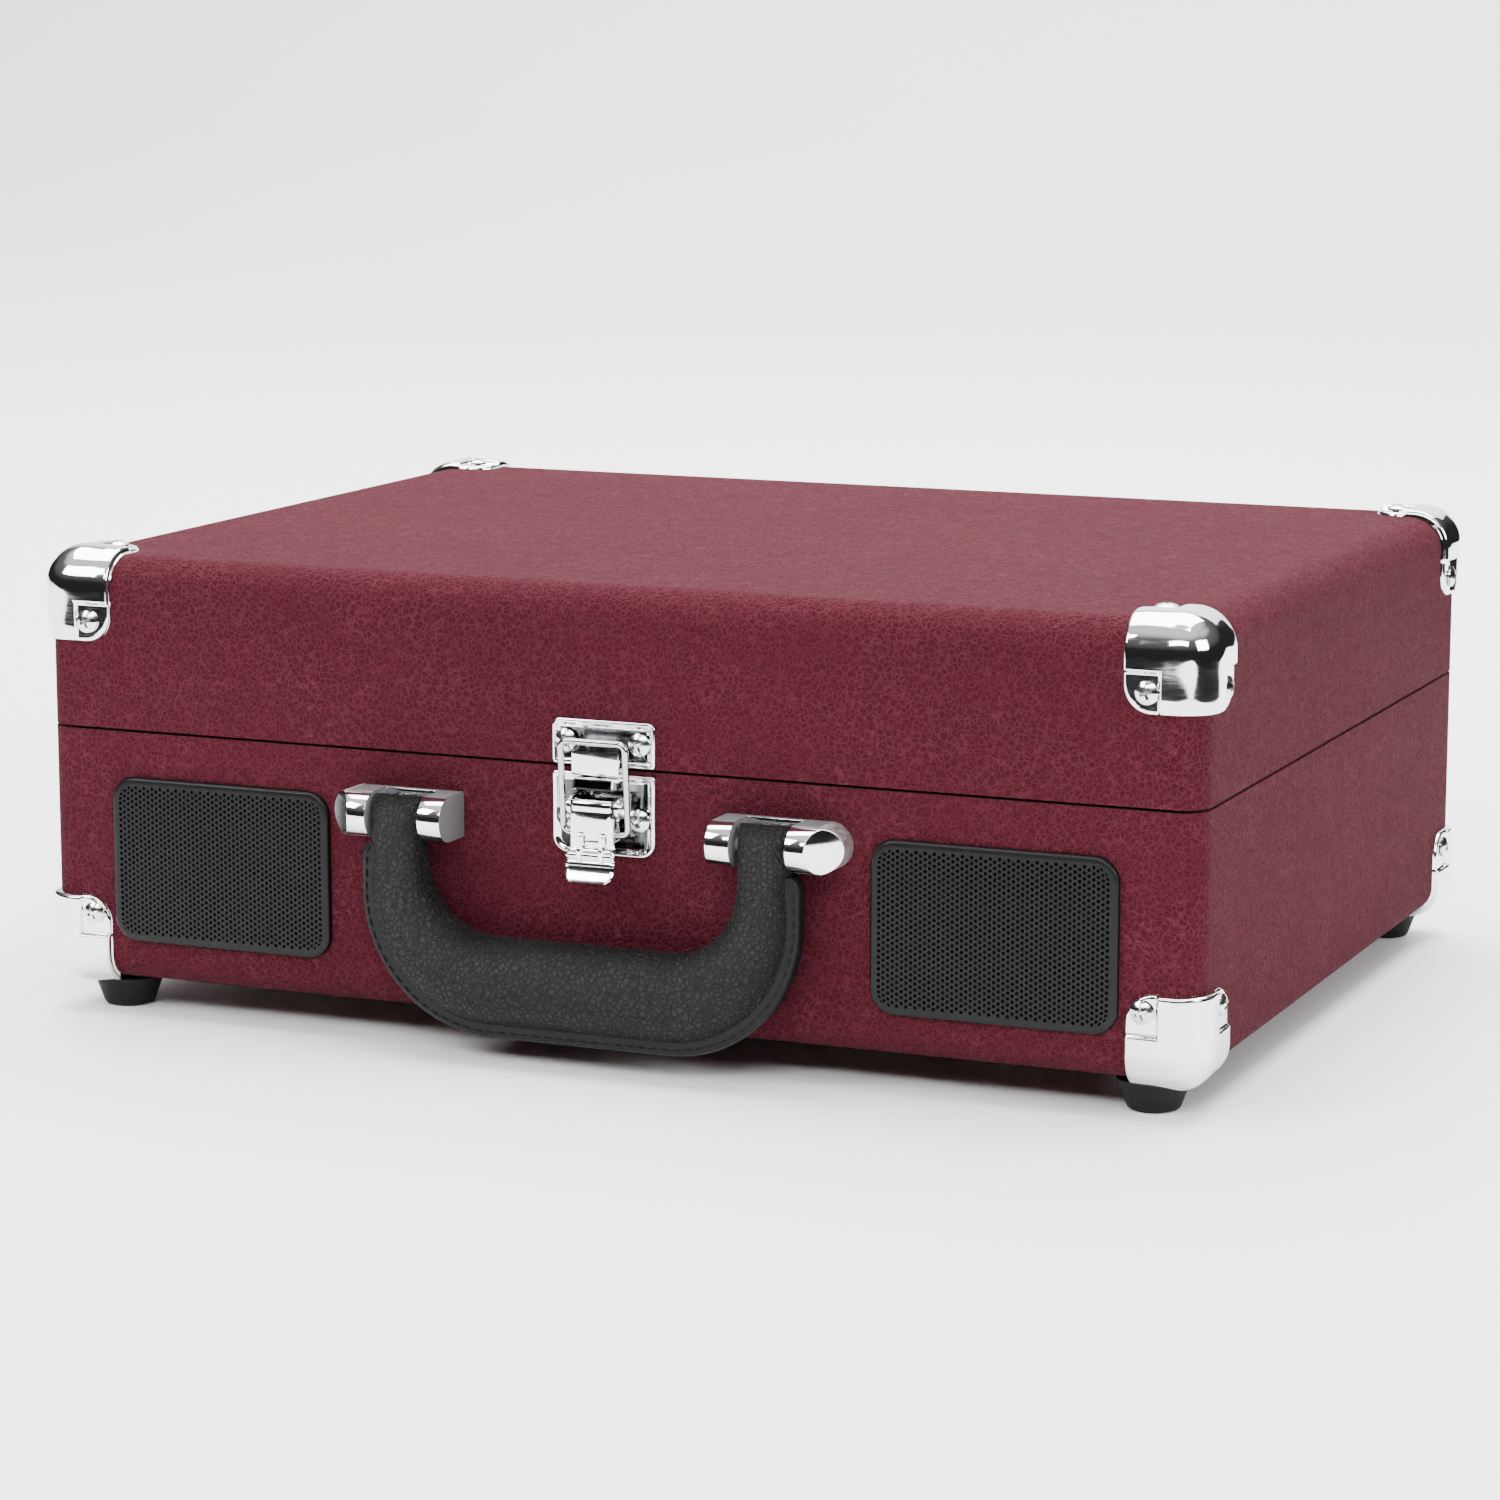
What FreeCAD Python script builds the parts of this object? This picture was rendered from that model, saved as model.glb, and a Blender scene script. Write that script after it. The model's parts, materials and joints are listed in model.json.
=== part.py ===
import FreeCAD, Part
import Sketcher
import math
import os
from FreeCAD import Placement, Rotation, Vector

# Suitcase record player. The model is drawn in the case's own frame: x = 0 on the
# case's middle, y = 0 on its middle with the front at -Y, z = 0 on the underside of
# the case. Every sub-part's Placement then lifts it onto the feet and moves the
# origin to the middle of the whole object's footprint.

doc = FreeCAD.newDocument("suitcase_record_player")
sheet = doc.addObject("Spreadsheet::Sheet", "Dims")
sheet.Label = "Dims"

DIMS = [
    ("case_width", 355.0, "outside of the covered case, left to right"),
    ("case_depth", 268.0, "outside of the covered case, front to back"),
    ("case_height", 125.5, "underside of the case to the top of the lid"),
    ("base_height", 74.6, "underside to the rim of the base"),
    ("lid_bottom", 75.4, "underside to the rim of the lid"),
    ("edge_vertical", 8.0, "radius of the four upright edges"),
    ("edge_bottom", 8.0, "radius round the underside"),
    ("edge_top", 10.0, "radius round the top of the lid"),
    ("cover_thick", 0.8, "leatherette and its glue line"),
    ("wall", 8.0, "board thickness of the sides"),
    ("floor_thick", 6.0, "board thickness of the bottom and the lid's top"),
    ("lining_thick", 0.5, "lid lining"),
    ("foot_height", 10.0, "floor to the underside of the case"),
    ("foot_top", 10.4, "foot radius at the case"),
    ("foot_bottom", 7.2, "foot radius at the floor"),
    ("foot_x", 160.5, "foot centre from the middle"),
    ("foot_y", 119.0, "foot centre from the middle"),
    ("origin_shift", 4.6, "case middle to the middle of the whole footprint"),
    ("corner_thick", 1.4, "pressed corner thickness"),
    ("corner_x", 22.5, "corner reach along the front"),
    ("corner_y", 22.5, "corner reach along the side"),
    ("corner_z", 25.0, "corner reach up or down"),
    ("corner_lobe", 8.0, "radius of each lobe's free corner"),
    ("screw_head", 3.2, "case screw head radius"),
    ("screw_rise", 1.7, "case screw head height"),
    ("screw_shank", 1.5, "case screw shank radius"),
    ("screw_length", 6.2, "case screw shank length"),
    ("grille_x", 119.25, "grille centre from the middle"),
    ("grille_z", 37.0, "grille centre above the underside"),
    ("grille_width", 71.5, "grille width"),
    ("grille_height", 49.0, "grille height"),
    ("grille_rise", 1.8, "grille proud of the covering"),
    ("grille_corner", 7.0, "grille corner radius"),
    ("speaker_hole", 24.0, "radius of the hole behind each grille"),
    ("latch_x", 3.6, "latch centre from the middle"),
    ("latch_width", 31.5, "latch plate width"),
    ("latch_plate", 1.6, "latch plate thickness"),
    ("latch_low", 50.3, "bottom of the lower latch plate"),
    ("latch_mid_low", 73.6, "top of the lower latch plate"),
    ("latch_mid_high", 75.6, "bottom of the strike plate"),
    ("latch_high", 88.6, "top of the strike plate"),
    ("lever_pivot_y", -140.2, "lever pin"),
    ("lever_pivot_z", 65.0, "lever pin"),
    ("bail_pivot_y", -140.5, "bail ends in the lever"),
    ("bail_pivot_z", 57.5, "bail ends in the lever"),
    ("bail_wire", 0.95, "bail wire radius"),
    ("bail_half", 9.9, "bail leg centre from the latch centre"),
    ("bail_top_y", -142.5, "bail crossbar"),
    ("bail_top_z", 83.5, "bail crossbar"),
    ("handle_pivot_y", -143.5, "handle pivot"),
    ("handle_pivot_z", 58.5, "handle pivot"),
    ("handle_pin", 2.0, "handle pin radius"),
    ("handle_half", 67.3, "half the handle's outside width"),
    ("handle_inside", 48.5, "half the handle's inside width"),
    ("handle_bottom", -2.9, "outside of the handle's bar"),
    ("handle_gap", 26.0, "inside of the handle's bar"),
    ("handle_thick", 17.4, "handle thickness"),
    ("bracket_in", 40.6, "bracket's inner end from the middle"),
    ("bracket_out", 78.3, "bracket's outer end from the middle"),
    ("bracket_radius", 6.5, "bracket nose radius"),
    ("bracket_base", 2.0, "bracket back plate thickness"),
    ("hinge_x", 110.0, "hinge centre from the middle"),
    ("hinge_y", 137.0, "hinge axis"),
    ("hinge_z", 75.0, "hinge axis"),
    ("hinge_knuckle", 2.7, "knuckle radius"),
    ("hinge_pin", 1.45, "hinge pin radius"),
    ("deck_low", 65.0, "underside of the deck"),
    ("deck_top", 68.0, "top of the deck"),
    ("platter_x", -45.0, "spindle centre"),
    ("platter_y", 7.7, "spindle centre"),
    ("platter_radius", 98.0, "platter"),
    ("platter_top", 83.4, "top of the platter"),
    ("mat_top", 85.0, "top of the slipmat"),
    ("drive_radius", 66.0, "belt ring under the platter"),
    ("spindle_radius", 3.57, "record spindle"),
    ("spindle_top", 97.0, "record spindle tip"),
    ("bearing_gap", 0.05, "radial clearance of the spindle in its sleeve"),
    ("motor_x", -103.0, "motor shaft"),
    ("motor_y", 65.7, "motor shaft"),
    ("pulley_radius", 5.5, "motor pulley"),
    ("belt_gap", 0.3, "belt to ring and pulley"),
    ("belt_thick", 0.6, "belt"),
    ("arm_x", 112.0, "tonearm pivot"),
    ("arm_y", 85.0, "tonearm pivot"),
    ("arm_z", 97.0, "tonearm tube's axis"),
    ("arm_radius", 4.0, "tonearm tube radius"),
    ("arm_reach", 188.0, "tonearm pivot to stylus"),
    ("rest_y", -20.0, "arm rest"),
    ("knob_x", 146.0, "row of controls"),
    ("volume_y", -62.0, "volume knob"),
    ("function_y", -95.0, "source knob"),
    ("jack_y1", -30.0, "headphone socket"),
    ("jack_y2", -12.0, "line-in socket"),
    ("jack_bore", 1.78, "3.5 mm socket bore radius"),
    ("speed_y", 14.0, "speed switch slot's middle"),
    ("stop_x", 159.0, "auto-stop switch"),
    ("adapter_x", -143.0, "45 rpm adapter"),
    ("adapter_y", -98.0, "45 rpm adapter"),
    ("adapter_radius", 19.0, "45 rpm adapter"),
    ("rear_plate_x", -90.0, "rear connector plate's middle"),
    ("rear_plate_z", 34.0, "rear connector plate's middle"),
    ("dc_bore", 2.8, "power socket bore radius"),
]
for row, (alias, value, note) in enumerate(DIMS, start=1):
    sheet.set("A%d" % row, note)
    sheet.set("B%d" % row, repr(value))
    sheet.setAlias("B%d" % row, alias)
doc.recompute()


class Q:
    """A number together with the spreadsheet expression that gives it."""

    def __init__(self, v, e=None):
        self.v = float(v)
        self.bound = e is not None
        self.e = e if e is not None else repr(float(v))

    @staticmethod
    def of(o):
        return o if isinstance(o, Q) else Q(o)

    def _two(self, o, sign, v):
        o = Q.of(o)
        out = Q(v, "(%s %s %s)" % (self.e, sign, o.e))
        out.bound = self.bound or o.bound
        return out

    def __add__(self, o):
        return self._two(o, "+", self.v + Q.of(o).v)

    def __radd__(self, o):
        return Q.of(o) + self

    def __sub__(self, o):
        return self._two(o, "-", self.v - Q.of(o).v)

    def __rsub__(self, o):
        return Q.of(o) - self

    def __mul__(self, o):
        return self._two(o, "*", self.v * Q.of(o).v)

    def __rmul__(self, o):
        return Q.of(o) * self

    def __truediv__(self, o):
        return self._two(o, "/", self.v / Q.of(o).v)

    def __neg__(self):
        return Q(0.0) - self


class Sizes:
    def __getattr__(self, name):
        return Q(getattr(sheet, name), "Dims." + name)


S = Sizes()
PARTS = []


def n(q):
    return Q.of(q).v


def vec(x, y, z):
    return Vector(n(x), n(y), n(z))


def bind(obj, prop, q):
    q = Q.of(q)
    if q.bound:
        obj.setExpression(prop, q.e)


def keep(obj, label, x=0.0, y=0.0, z=0.0, rot=None):
    """Names a sub-part and puts it in the whole object's frame."""
    obj.Label = label
    px, py, pz = Q.of(x), Q.of(y) + S.origin_shift, Q.of(z) + S.foot_height
    obj.Placement = Placement(vec(px, py, pz), rot or Rotation())
    for prop, q in (("x", px), ("y", py), ("z", pz)):
        bind(obj, "Placement.Base." + prop, q)
    PARTS.append(obj)
    return obj


def feature(shape, name="Form"):
    obj = doc.addObject("Part::Feature", name)
    obj.Shape = shape
    return obj


def box(x0, y0, z0, x1, y1, z1, name="Block"):
    obj = doc.addObject("Part::Box", name)
    x0, y0, z0, x1, y1, z1 = [Q.of(q) for q in (x0, y0, z0, x1, y1, z1)]
    for prop, q in (("Length", x1 - x0), ("Width", y1 - y0), ("Height", z1 - z0)):
        setattr(obj, prop, q.v)
        bind(obj, prop, q)
    obj.Placement = Placement(vec(x0, y0, z0), Rotation())
    for prop, q in (("x", x0), ("y", y0), ("z", z0)):
        bind(obj, "Placement.Base." + prop, q)
    return obj


TURN = {
    "Z": Rotation(),
    "-Z": Rotation(Vector(1, 0, 0), 180),
    "X": Rotation(Vector(0, 1, 0), 90),
    "-X": Rotation(Vector(0, 1, 0), -90),
    "Y": Rotation(Vector(1, 0, 0), -90),
    "-Y": Rotation(Vector(1, 0, 0), 90),
}


def rod(x, y, z, r, length, axis="Z", name="Rod"):
    obj = doc.addObject("Part::Cylinder", name)
    for prop, q in (("Radius", Q.of(r)), ("Height", Q.of(length))):
        setattr(obj, prop, q.v)
        bind(obj, prop, q)
    obj.Placement = Placement(vec(x, y, z), TURN[axis])
    for prop, q in (("x", Q.of(x)), ("y", Q.of(y)), ("z", Q.of(z))):
        bind(obj, "Placement.Base." + prop, q)
    return obj


def cone(x, y, z, r1, r2, length, axis="Z", name="Taper"):
    obj = doc.addObject("Part::Cone", name)
    for prop, q in (("Radius1", Q.of(r1)), ("Radius2", Q.of(r2)), ("Height", Q.of(length))):
        setattr(obj, prop, q.v)
        bind(obj, prop, q)
    obj.Placement = Placement(vec(x, y, z), TURN[axis])
    for prop, q in (("x", Q.of(x)), ("y", Q.of(y)), ("z", Q.of(z))):
        bind(obj, "Placement.Base." + prop, q)
    return obj


def fuse(items, name="Joined"):
    obj = doc.addObject("Part::MultiFuse", name)
    obj.Shapes = items
    return obj


def cut(base, tools, name="Cutout"):
    obj = doc.addObject("Part::Cut", name)
    obj.Base = base
    obj.Tool = tools[0] if len(tools) == 1 else fuse(tools, name + "Tools")
    return obj


def common(items, name="Shared"):
    obj = doc.addObject("Part::MultiCommon", name)
    obj.Shapes = items
    return obj


def along(edge, axis):
    if not isinstance(edge.Curve, Part.Line):
        return False
    d = edge.Curve.Direction
    return abs(abs(getattr(d, axis)) - 1.0) < 1e-6


def rounded(base, rules, name="Rounded"):
    """Part fillet of every edge that a rule (test, radius) picks."""
    base.recompute(True)
    picked = []
    for i, edge in enumerate(base.Shape.Edges, start=1):
        for test, radius in rules:
            if test(edge):
                picked.append((i, n(radius), n(radius)))
                break
    obj = doc.addObject("Part::Fillet", name)
    obj.Base = base
    obj.Edges = picked
    return obj


# ---- PartDesign helpers -------------------------------------------------------


def new_body(label):
    body = doc.addObject("PartDesign::Body", label)
    body.Label = label + "_body"
    return body


def plane(body, role):
    return next(f for f in body.Origin.OriginFeatures if f.Role == role)


def sketch(body, role="XY_Plane", offset=0.0):
    sk = body.newObject("Sketcher::SketchObject", "Sketch")
    sk.AttachmentSupport = (plane(body, role), [""])
    sk.MapMode = "FlatFace"
    offset = Q.of(offset)
    sk.AttachmentOffset = Placement(Vector(0, 0, offset.v), Rotation())
    bind(sk, "AttachmentOffset.Base.z", offset)
    return sk


def pin_point(sk, geo, pos, x, y):
    for kind, q in (("DistanceX", Q.of(x)), ("DistanceY", Q.of(y))):
        if abs(q.v) < 1e-9:
            line = -2 if kind == "DistanceX" else -1
            sk.addConstraint(Sketcher.Constraint("PointOnObject", geo, pos, line))
        else:
            i = sk.addConstraint(Sketcher.Constraint(kind, -1, 1, geo, pos, q.v))
            bind(sk, "Constraints[%d]" % i, q)


def polygon(sk, pts):
    first = sk.GeometryCount
    count = len(pts)
    for i in range(count):
        a, b = pts[i], pts[(i + 1) % count]
        sk.addGeometry(Part.LineSegment(vec(a[0], a[1], 0), vec(b[0], b[1], 0)), False)
    for i in range(count):
        j = (i + 1) % count
        sk.addConstraint(Sketcher.Constraint("Coincident", first + i, 2, first + j, 1))
    for i in range(count):
        pin_point(sk, first + i, 1, pts[i][0], pts[i][1])


def rect(sk, x0, y0, x1, y1):
    polygon(sk, [(x0, y0), (x1, y0), (x1, y1), (x0, y1)])


def circle(sk, x, y, r):
    g = sk.addGeometry(Part.Circle(vec(x, y, 0), Vector(0, 0, 1), n(r)), False)
    i = sk.addConstraint(Sketcher.Constraint("Radius", g, n(r)))
    bind(sk, "Constraints[%d]" % i, r)
    pin_point(sk, g, 3, x, y)


def pad(body, sk, length, back=False):
    f = body.newObject("PartDesign::Pad", "Pad")
    f.Profile = sk
    f.Length = n(length)
    bind(f, "Length", length)
    f.Reversed = back
    return f


def pocket(body, sk, length, back=False):
    """Pocket whose direction is proved by the volume it takes away."""
    body.recompute(True)
    before = body.Shape.Volume
    f = body.newObject("PartDesign::Pocket", "Pocket")
    f.Profile = sk
    f.Length = n(length)
    bind(f, "Length", length)
    f.Reversed = back
    body.recompute(True)
    if body.Shape.Volume > before - 1e-3:
        f.Reversed = not back
        body.recompute(True)
    if body.Shape.Volume > before - 1e-3:
        raise SystemExit("pocket in %s cuts nothing" % body.Label)
    return f


def revolve(body, sk):
    f = body.newObject("PartDesign::Revolution", "Revolution")
    f.Profile = sk
    f.ReferenceAxis = (sk, ["V_Axis"])
    f.Angle = 360
    return f


def edge_fillet(body, radius, test, kind="PartDesign::Fillet"):
    body.recompute(True)
    tip = body.Tip
    names = ["Edge%d" % i for i, e in enumerate(tip.Shape.Edges, start=1) if test(e)]
    f = body.newObject(kind, "Edges")
    f.Base = (tip, names)
    prop = "Radius" if kind.endswith("Fillet") else "Size"
    setattr(f, prop, n(radius))
    bind(f, prop, radius)
    return f


def turned(label, profile, x, y, z=0.0, rot=None):
    """A turned piece: profile is (radius, height) corners round the local Z axis."""
    body = new_body(label)
    sk = sketch(body, "XZ_Plane")
    polygon(sk, profile)
    revolve(body, sk)
    return keep(body, label, x, y, z, rot)


def z_of(edge, z, tol=1e-4):
    b = edge.BoundBox
    return abs(b.ZMin - n(z)) < tol and abs(b.ZMax - n(z)) < tol


def y_of(edge, y, tol=1e-4):
    b = edge.BoundBox
    return abs(b.YMin - n(y)) < tol and abs(b.YMax - n(y)) < tol


# ---- fasteners ------------------------------------------------------------------


def screw_form(at, out, head=None, rise=None, shank=None, length=None, cross=True):
    """Pan head cross-recessed screw seated at a point, its head facing out."""
    head = S.screw_head.v if head is None else head
    rise = S.screw_rise.v if rise is None else rise
    shank = S.screw_shank.v if shank is None else shank
    length = S.screw_length.v if length is None else length
    sphere_r = (head * head + (rise * 0.62) ** 2) / (2 * rise * 0.62)
    rim = rise * 0.38
    dome = Part.makeSphere(sphere_r, Vector(0, 0, rise - sphere_r)).common(
        Part.makeCylinder(head, rise)
    )
    dome = dome.common(Part.makeBox(4 * head, 4 * head, rise - rim, Vector(-2 * head, -2 * head, rim)))
    form = Part.makeCylinder(head, rim).fuse(dome)
    form = form.fuse(Part.makeCylinder(shank, length, Vector(0, 0, -length)))
    if cross:
        w, l = head * 0.27, head * 1.15
        for a in (0, 90):
            slot = Part.makeBox(l, w, rise, Vector(-l / 2, -w / 2, rise - rise * 0.62))
            slot.rotate(Vector(0, 0, 0), Vector(0, 0, 1), a + 20)
            form = form.cut(slot)
    form = form.removeSplitter()
    form.Placement = Placement(vec(*at), Rotation(Vector(0, 0, 1), Vector(*out)))
    return form


def hole_form(at, out, r, depth, rise=6.0):
    return Part.makeCylinder(
        r, depth + rise, vec(*at) + Vector(*out) * rise, Vector(*out) * -1.0
    )


# ---- case -----------------------------------------------------------------------

HW, HD = S.case_width / 2, S.case_depth / 2


def case_block(inset, z0, z1, round_low, round_high, name):
    """The case's outside, or its outside less an inset, with rounded edges."""
    b = box(-HW + inset, -HD + inset, z0, HW - inset, HD - inset, z1, name)
    rules = [(lambda e: along(e, "z"), S.edge_vertical - inset)]
    if round_low is not None:
        rules.append((lambda e: z_of(e, z0), round_low - inset))
    if round_high is not None:
        rules.append((lambda e: z_of(e, z1), round_high - inset))
    return rounded(b, rules, name + "Rounded")


CT = S.cover_thick
T = S.corner_thick
HX, HY, FX, FY = n(HW), n(HD), S.foot_x.v, S.foot_y.v
FRONT, BACK, UP = (0, -1, 0), (0, 1, 0), (0, 0, 1)

# where each case screw sits: on the corner, the latch plate or the hinge leaf
base_screws, lid_screws = [], []
for sx in (-1, 1):
    for sy in (-1, 1):
        for store, z in ((base_screws, 20.0), (lid_screws, 106.7)):
            store.append(((sx * 162.0, sy * (HY + T.v), z), (0, sy, 0)))
            store.append(((sx * (HX + T.v), sy * 118.5, z), (sx, 0, 0)))
        lid_screws.append(((sx * 161.5, sy * 118.0, S.case_height.v + T.v), UP))
for dx in (-11.0, 11.0):
    base_screws.append(((S.latch_x.v + dx, -HY - S.latch_plate.v, 61.0), FRONT))
    lid_screws.append(((S.latch_x.v + dx * 1.02, -HY - S.latch_plate.v, 82.5), FRONT))
for sx in (-1, 1):
    for dx in (-14.0, 14.0):
        base_screws.append(((sx * S.hinge_x.v + dx, HY + 1.23, 62.0), BACK))
        lid_screws.append(((sx * S.hinge_x.v + dx, HY + 1.23, 88.0), BACK))
foot_screws = [((sx * FX, sy * FY, -6.0), (0, 0, -1)) for sx in (-1, 1) for sy in (-1, 1)]
deck_screws = [
    ((x, y, S.deck_top.v), UP)
    for x, y in ((-161, -117), (161, -117), (-161, 117), (161, 117))
]
panel_screws = [
    ((x, y, 0.8), (0, 0, -1)) for x in (-132, 0, 132) for y in (-92, 92)
]

gap = 0.06
base_bores = [hole_form(a, o, S.screw_shank.v + gap, S.screw_length.v + 0.5) for a, o in base_screws]
base_bores += [hole_form(a, o, 1.5 + gap, 17.0) for a, o in foot_screws]
base_bores += [hole_form(a, o, 1.3 + gap, 12.0, 1.0) for a, o in deck_screws]
base_bores += [hole_form(a, o, 1.3 + gap, 6.2, 1.0) for a, o in panel_screws]
base_tool = feature(Part.makeCompound(base_bores), "BaseBores")
lid_bores = [hole_form(a, o, S.screw_shank.v + gap, S.screw_length.v + 0.5) for a, o in lid_screws]
lid_tool = feature(Part.makeCompound(lid_bores), "LidBores")

# openings through the base: behind the grilles, for the rear sockets and the floor panel
through_base = [
    rod(sx * S.grille_x, -HD - 1, S.grille_z, S.speaker_hole, 20, "Y", "SpeakerHole") for sx in (-1, 1)
] + [
    box(S.rear_plate_x - 25, HD - 12, S.rear_plate_z - 8, S.rear_plate_x + 25, HD + 1, S.rear_plate_z + 8, "SocketHole"),
]
floor_hole = box(-141, -101, -1, 141, 101, 4.8, "FloorHole")
floor_well = box(-128, -88, -1, 128, 88, 20, "FloorWell")

outer = case_block(0, 0, S.base_height, S.edge_bottom, None, "BaseOuter")
inner = case_block(CT, CT, S.base_height + 1, S.edge_bottom, None, "BaseInner")
keep(cut(outer, [inner, base_tool, floor_hole] + through_base, "BaseSkin"), "base_covering")

# the base box: four sides, the floor and four glued corner blocks under the deck
body = new_body("BaseBoxWood")
sk = sketch(body, "XY_Plane", CT)
rect(sk, -HW + CT, -HD + CT, HW - CT, HD - CT)
pad(body, sk, S.base_height - CT)
edge_fillet(body, S.edge_vertical - CT, lambda e: along(e, "z"))
edge_fillet(body, S.edge_bottom - CT, lambda e: z_of(e, CT))
sk = sketch(body, "XY_Plane", S.base_height)
rect(sk, -HW + CT + S.wall, -HD + CT + S.wall, HW - CT - S.wall, HD - CT - S.wall)
pocket(body, sk, S.base_height - CT - S.floor_thick)
blocks = []
for sx in (-1, 1):
    for sy in (-1, 1):
        x0, x1 = sorted((sx * (HX - 0.8 - 8), sx * 152.0))
        y0, y1 = sorted((sy * (HY - 0.8 - 8), sy * 109.0))
        blocks.append(box(x0, y0, 6.0, x1, y1, S.deck_low, "CornerBlock"))
through_wood = [
    rod(sx * S.grille_x, -HD - 1, S.grille_z, S.speaker_hole, 20, "Y", "SpeakerHole") for sx in (-1, 1)
] + [
    box(S.rear_plate_x - 25, HD - 12, S.rear_plate_z - 8, S.rear_plate_x + 25, HD + 1, S.rear_plate_z + 8, "SocketHole"),
    box(-141, -101, -1, 141, 101, 4.8, "FloorHole"),
    floor_well,
]
base_tool2 = feature(Part.makeCompound(base_bores), "BaseBores")
wood = cut(body, [base_tool2] + through_wood, "BaseWood")
glued = [cut(block, [body, base_tool2, floor_well], "GluedBlock") for block in blocks]
doc.recompute()


def mitre(points, z0, z1):
    """A prism over a plan outline, to part the box into its boards."""
    pts = [Vector(x, y, z0) for x, y in points]
    return Part.Face(Part.makePolygon(pts + pts[:1])).extrude(Vector(0, 0, z1 - z0))


ridge = HX - HY
plans = [
    [(-HX, -HY), (HX, -HY), (ridge, 0), (-ridge, 0)],
    [(HX, HY), (-HX, HY), (-ridge, 0), (ridge, 0)],
    [(HX, -HY), (HX, HY), (ridge, 0)],
    [(-HX, HY), (-HX, -HY), (-ridge, 0)],
]
floor_top = n(CT) + S.floor_thick.v
boards = []
for z0, z1 in ((0.0, floor_top), (floor_top, S.base_height.v + 1)):
    for plan in plans:
        boards += wood.Shape.common(mitre(plan, z0, z1)).Solids
for block in glued:
    boards += block.Shape.Solids
keep(feature(Part.makeCompound(boards), "BaseBox"), "base_box")

# the screwed floor panel
body = new_body("FloorPanel")
sk = sketch(body, "XY_Plane", 0.8)
rect(sk, -140.6, -100.6, 140.6, 100.6)
pad(body, sk, 3.9)
edge_fillet(body, 4.0, lambda e: along(e, "z"))
sk = sketch(body, "XY_Plane", 0.8)
for (x, y, z), o in panel_screws:
    circle(sk, x, y, 1.3 + gap)
pocket(body, sk, 4.0, True)
keep(body, "bottom_panel")

# lid: board box, covering and lining
outer = case_block(0, S.lid_bottom, S.case_height, None, S.edge_top, "LidOuter")
inner = case_block(CT, S.lid_bottom - 1, S.case_height - CT, None, S.edge_top, "LidInner")
keep(cut(outer, [inner, lid_tool], "LidSkin"), "lid_covering")

body = new_body("LidBoxWood")
sk = sketch(body, "XY_Plane", S.lid_bottom)
rect(sk, -HW + CT, -HD + CT, HW - CT, HD - CT)
pad(body, sk, S.case_height - CT - S.lid_bottom)
edge_fillet(body, S.edge_vertical - CT, lambda e: along(e, "z"))
edge_fillet(body, S.edge_vertical - CT, lambda e: z_of(e, S.case_height - CT))
sk = sketch(body, "XY_Plane", S.lid_bottom)
rect(sk, -HW + CT + S.wall, -HD + CT + S.wall, HW - CT - S.wall, HD - CT - S.wall)
pocket(body, sk, S.case_height - CT - S.floor_thick - S.lid_bottom, True)
lid_tool2 = feature(Part.makeCompound(lid_bores), "LidBores")
shell_limit = case_block(CT, S.lid_bottom - 1, S.case_height - CT, None, S.edge_top, "LidLimit")
keep(cut(common([body, shell_limit], "LidWood"), [lid_tool2], "LidBox"), "lid_box")

IN = CT + S.wall
body = new_body("Lining")
sk = sketch(body, "XY_Plane", S.lid_bottom + 0.4)
rect(sk, -HW + IN, -HD + IN, HW - IN, HD - IN)
pad(body, sk, S.case_height - CT - S.floor_thick - S.lid_bottom - 0.4)
sk = sketch(body, "XY_Plane", S.lid_bottom + 0.4)
LN = IN + S.lining_thick
rect(sk, -HW + LN, -HD + LN, HW - LN, HD - LN)
pocket(body, sk, S.case_height - CT - S.floor_thick - S.lid_bottom - 0.4 - S.lining_thick, True)
keep(body, "lid_lining")

# ---- corners ----------------------------------------------------------------------


def corner_form(sx, sy, top):
    """Pressed three-lobed corner: a shell over the case's corner, its lobes rounded."""
    t, rv = T.v, S.edge_vertical.v
    z0, z1 = (0.0, S.base_height.v) if not top else (S.lid_bottom.v, S.case_height.v)
    re = S.edge_top.v if top else S.edge_bottom.v
    zf = z1 if top else z0

    def block(grow):
        lo, hi = (z0 - 5, z1 + grow) if top else (z0 - grow, z1 + 5)
        b = Part.makeBox(2 * (HX + grow), 2 * (HY + grow), hi - lo, Vector(-HX - grow, -HY - grow, lo))
        zr = hi if top else lo
        up = [e for e in b.Edges if along(e, "z")]
        b = b.makeFillet(rv + grow, up)
        ring = [e for e in b.Edges if z_of(e, zr, 1e-3)]
        return b.makeFillet(min(re, rv - 0.001 + (re - rv)) + grow, ring) if re > rv else b.makeFillet(rv + grow - 0.01, ring)

    outside, inside = block(t), block(0.02)
    cx, cy, cz = S.corner_x.v, S.corner_y.v, S.corner_z.v
    big = 12.0
    px = (HX - cx, HX + big) if sx > 0 else (-HX - big, -HX + cx)
    py = (HY - cy, HY + big) if sy > 0 else (-HY - big, -HY + cy)
    pz = (zf - cz, zf + big) if top else (zf - big, zf + cz)
    reach = Part.makeBox(px[1] - px[0], py[1] - py[0], pz[1] - pz[0], Vector(px[0], py[0], pz[0]))
    ix = px[0] if sx > 0 else px[1]
    iy = py[0] if sy > 0 else py[1]
    iz = pz[0] if top else pz[1]
    chosen = []
    for e in reach.Edges:
        c = e.CenterOfMass
        near = [abs(c.x - ix) < 1e-6, abs(c.y - iy) < 1e-6, abs(c.z - iz) < 1e-6]
        if sum(near) == 2:
            chosen.append(e)
    reach = reach.makeFillet(S.corner_lobe.v, chosen)
    return outside.cut(inside).common(reach)


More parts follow.
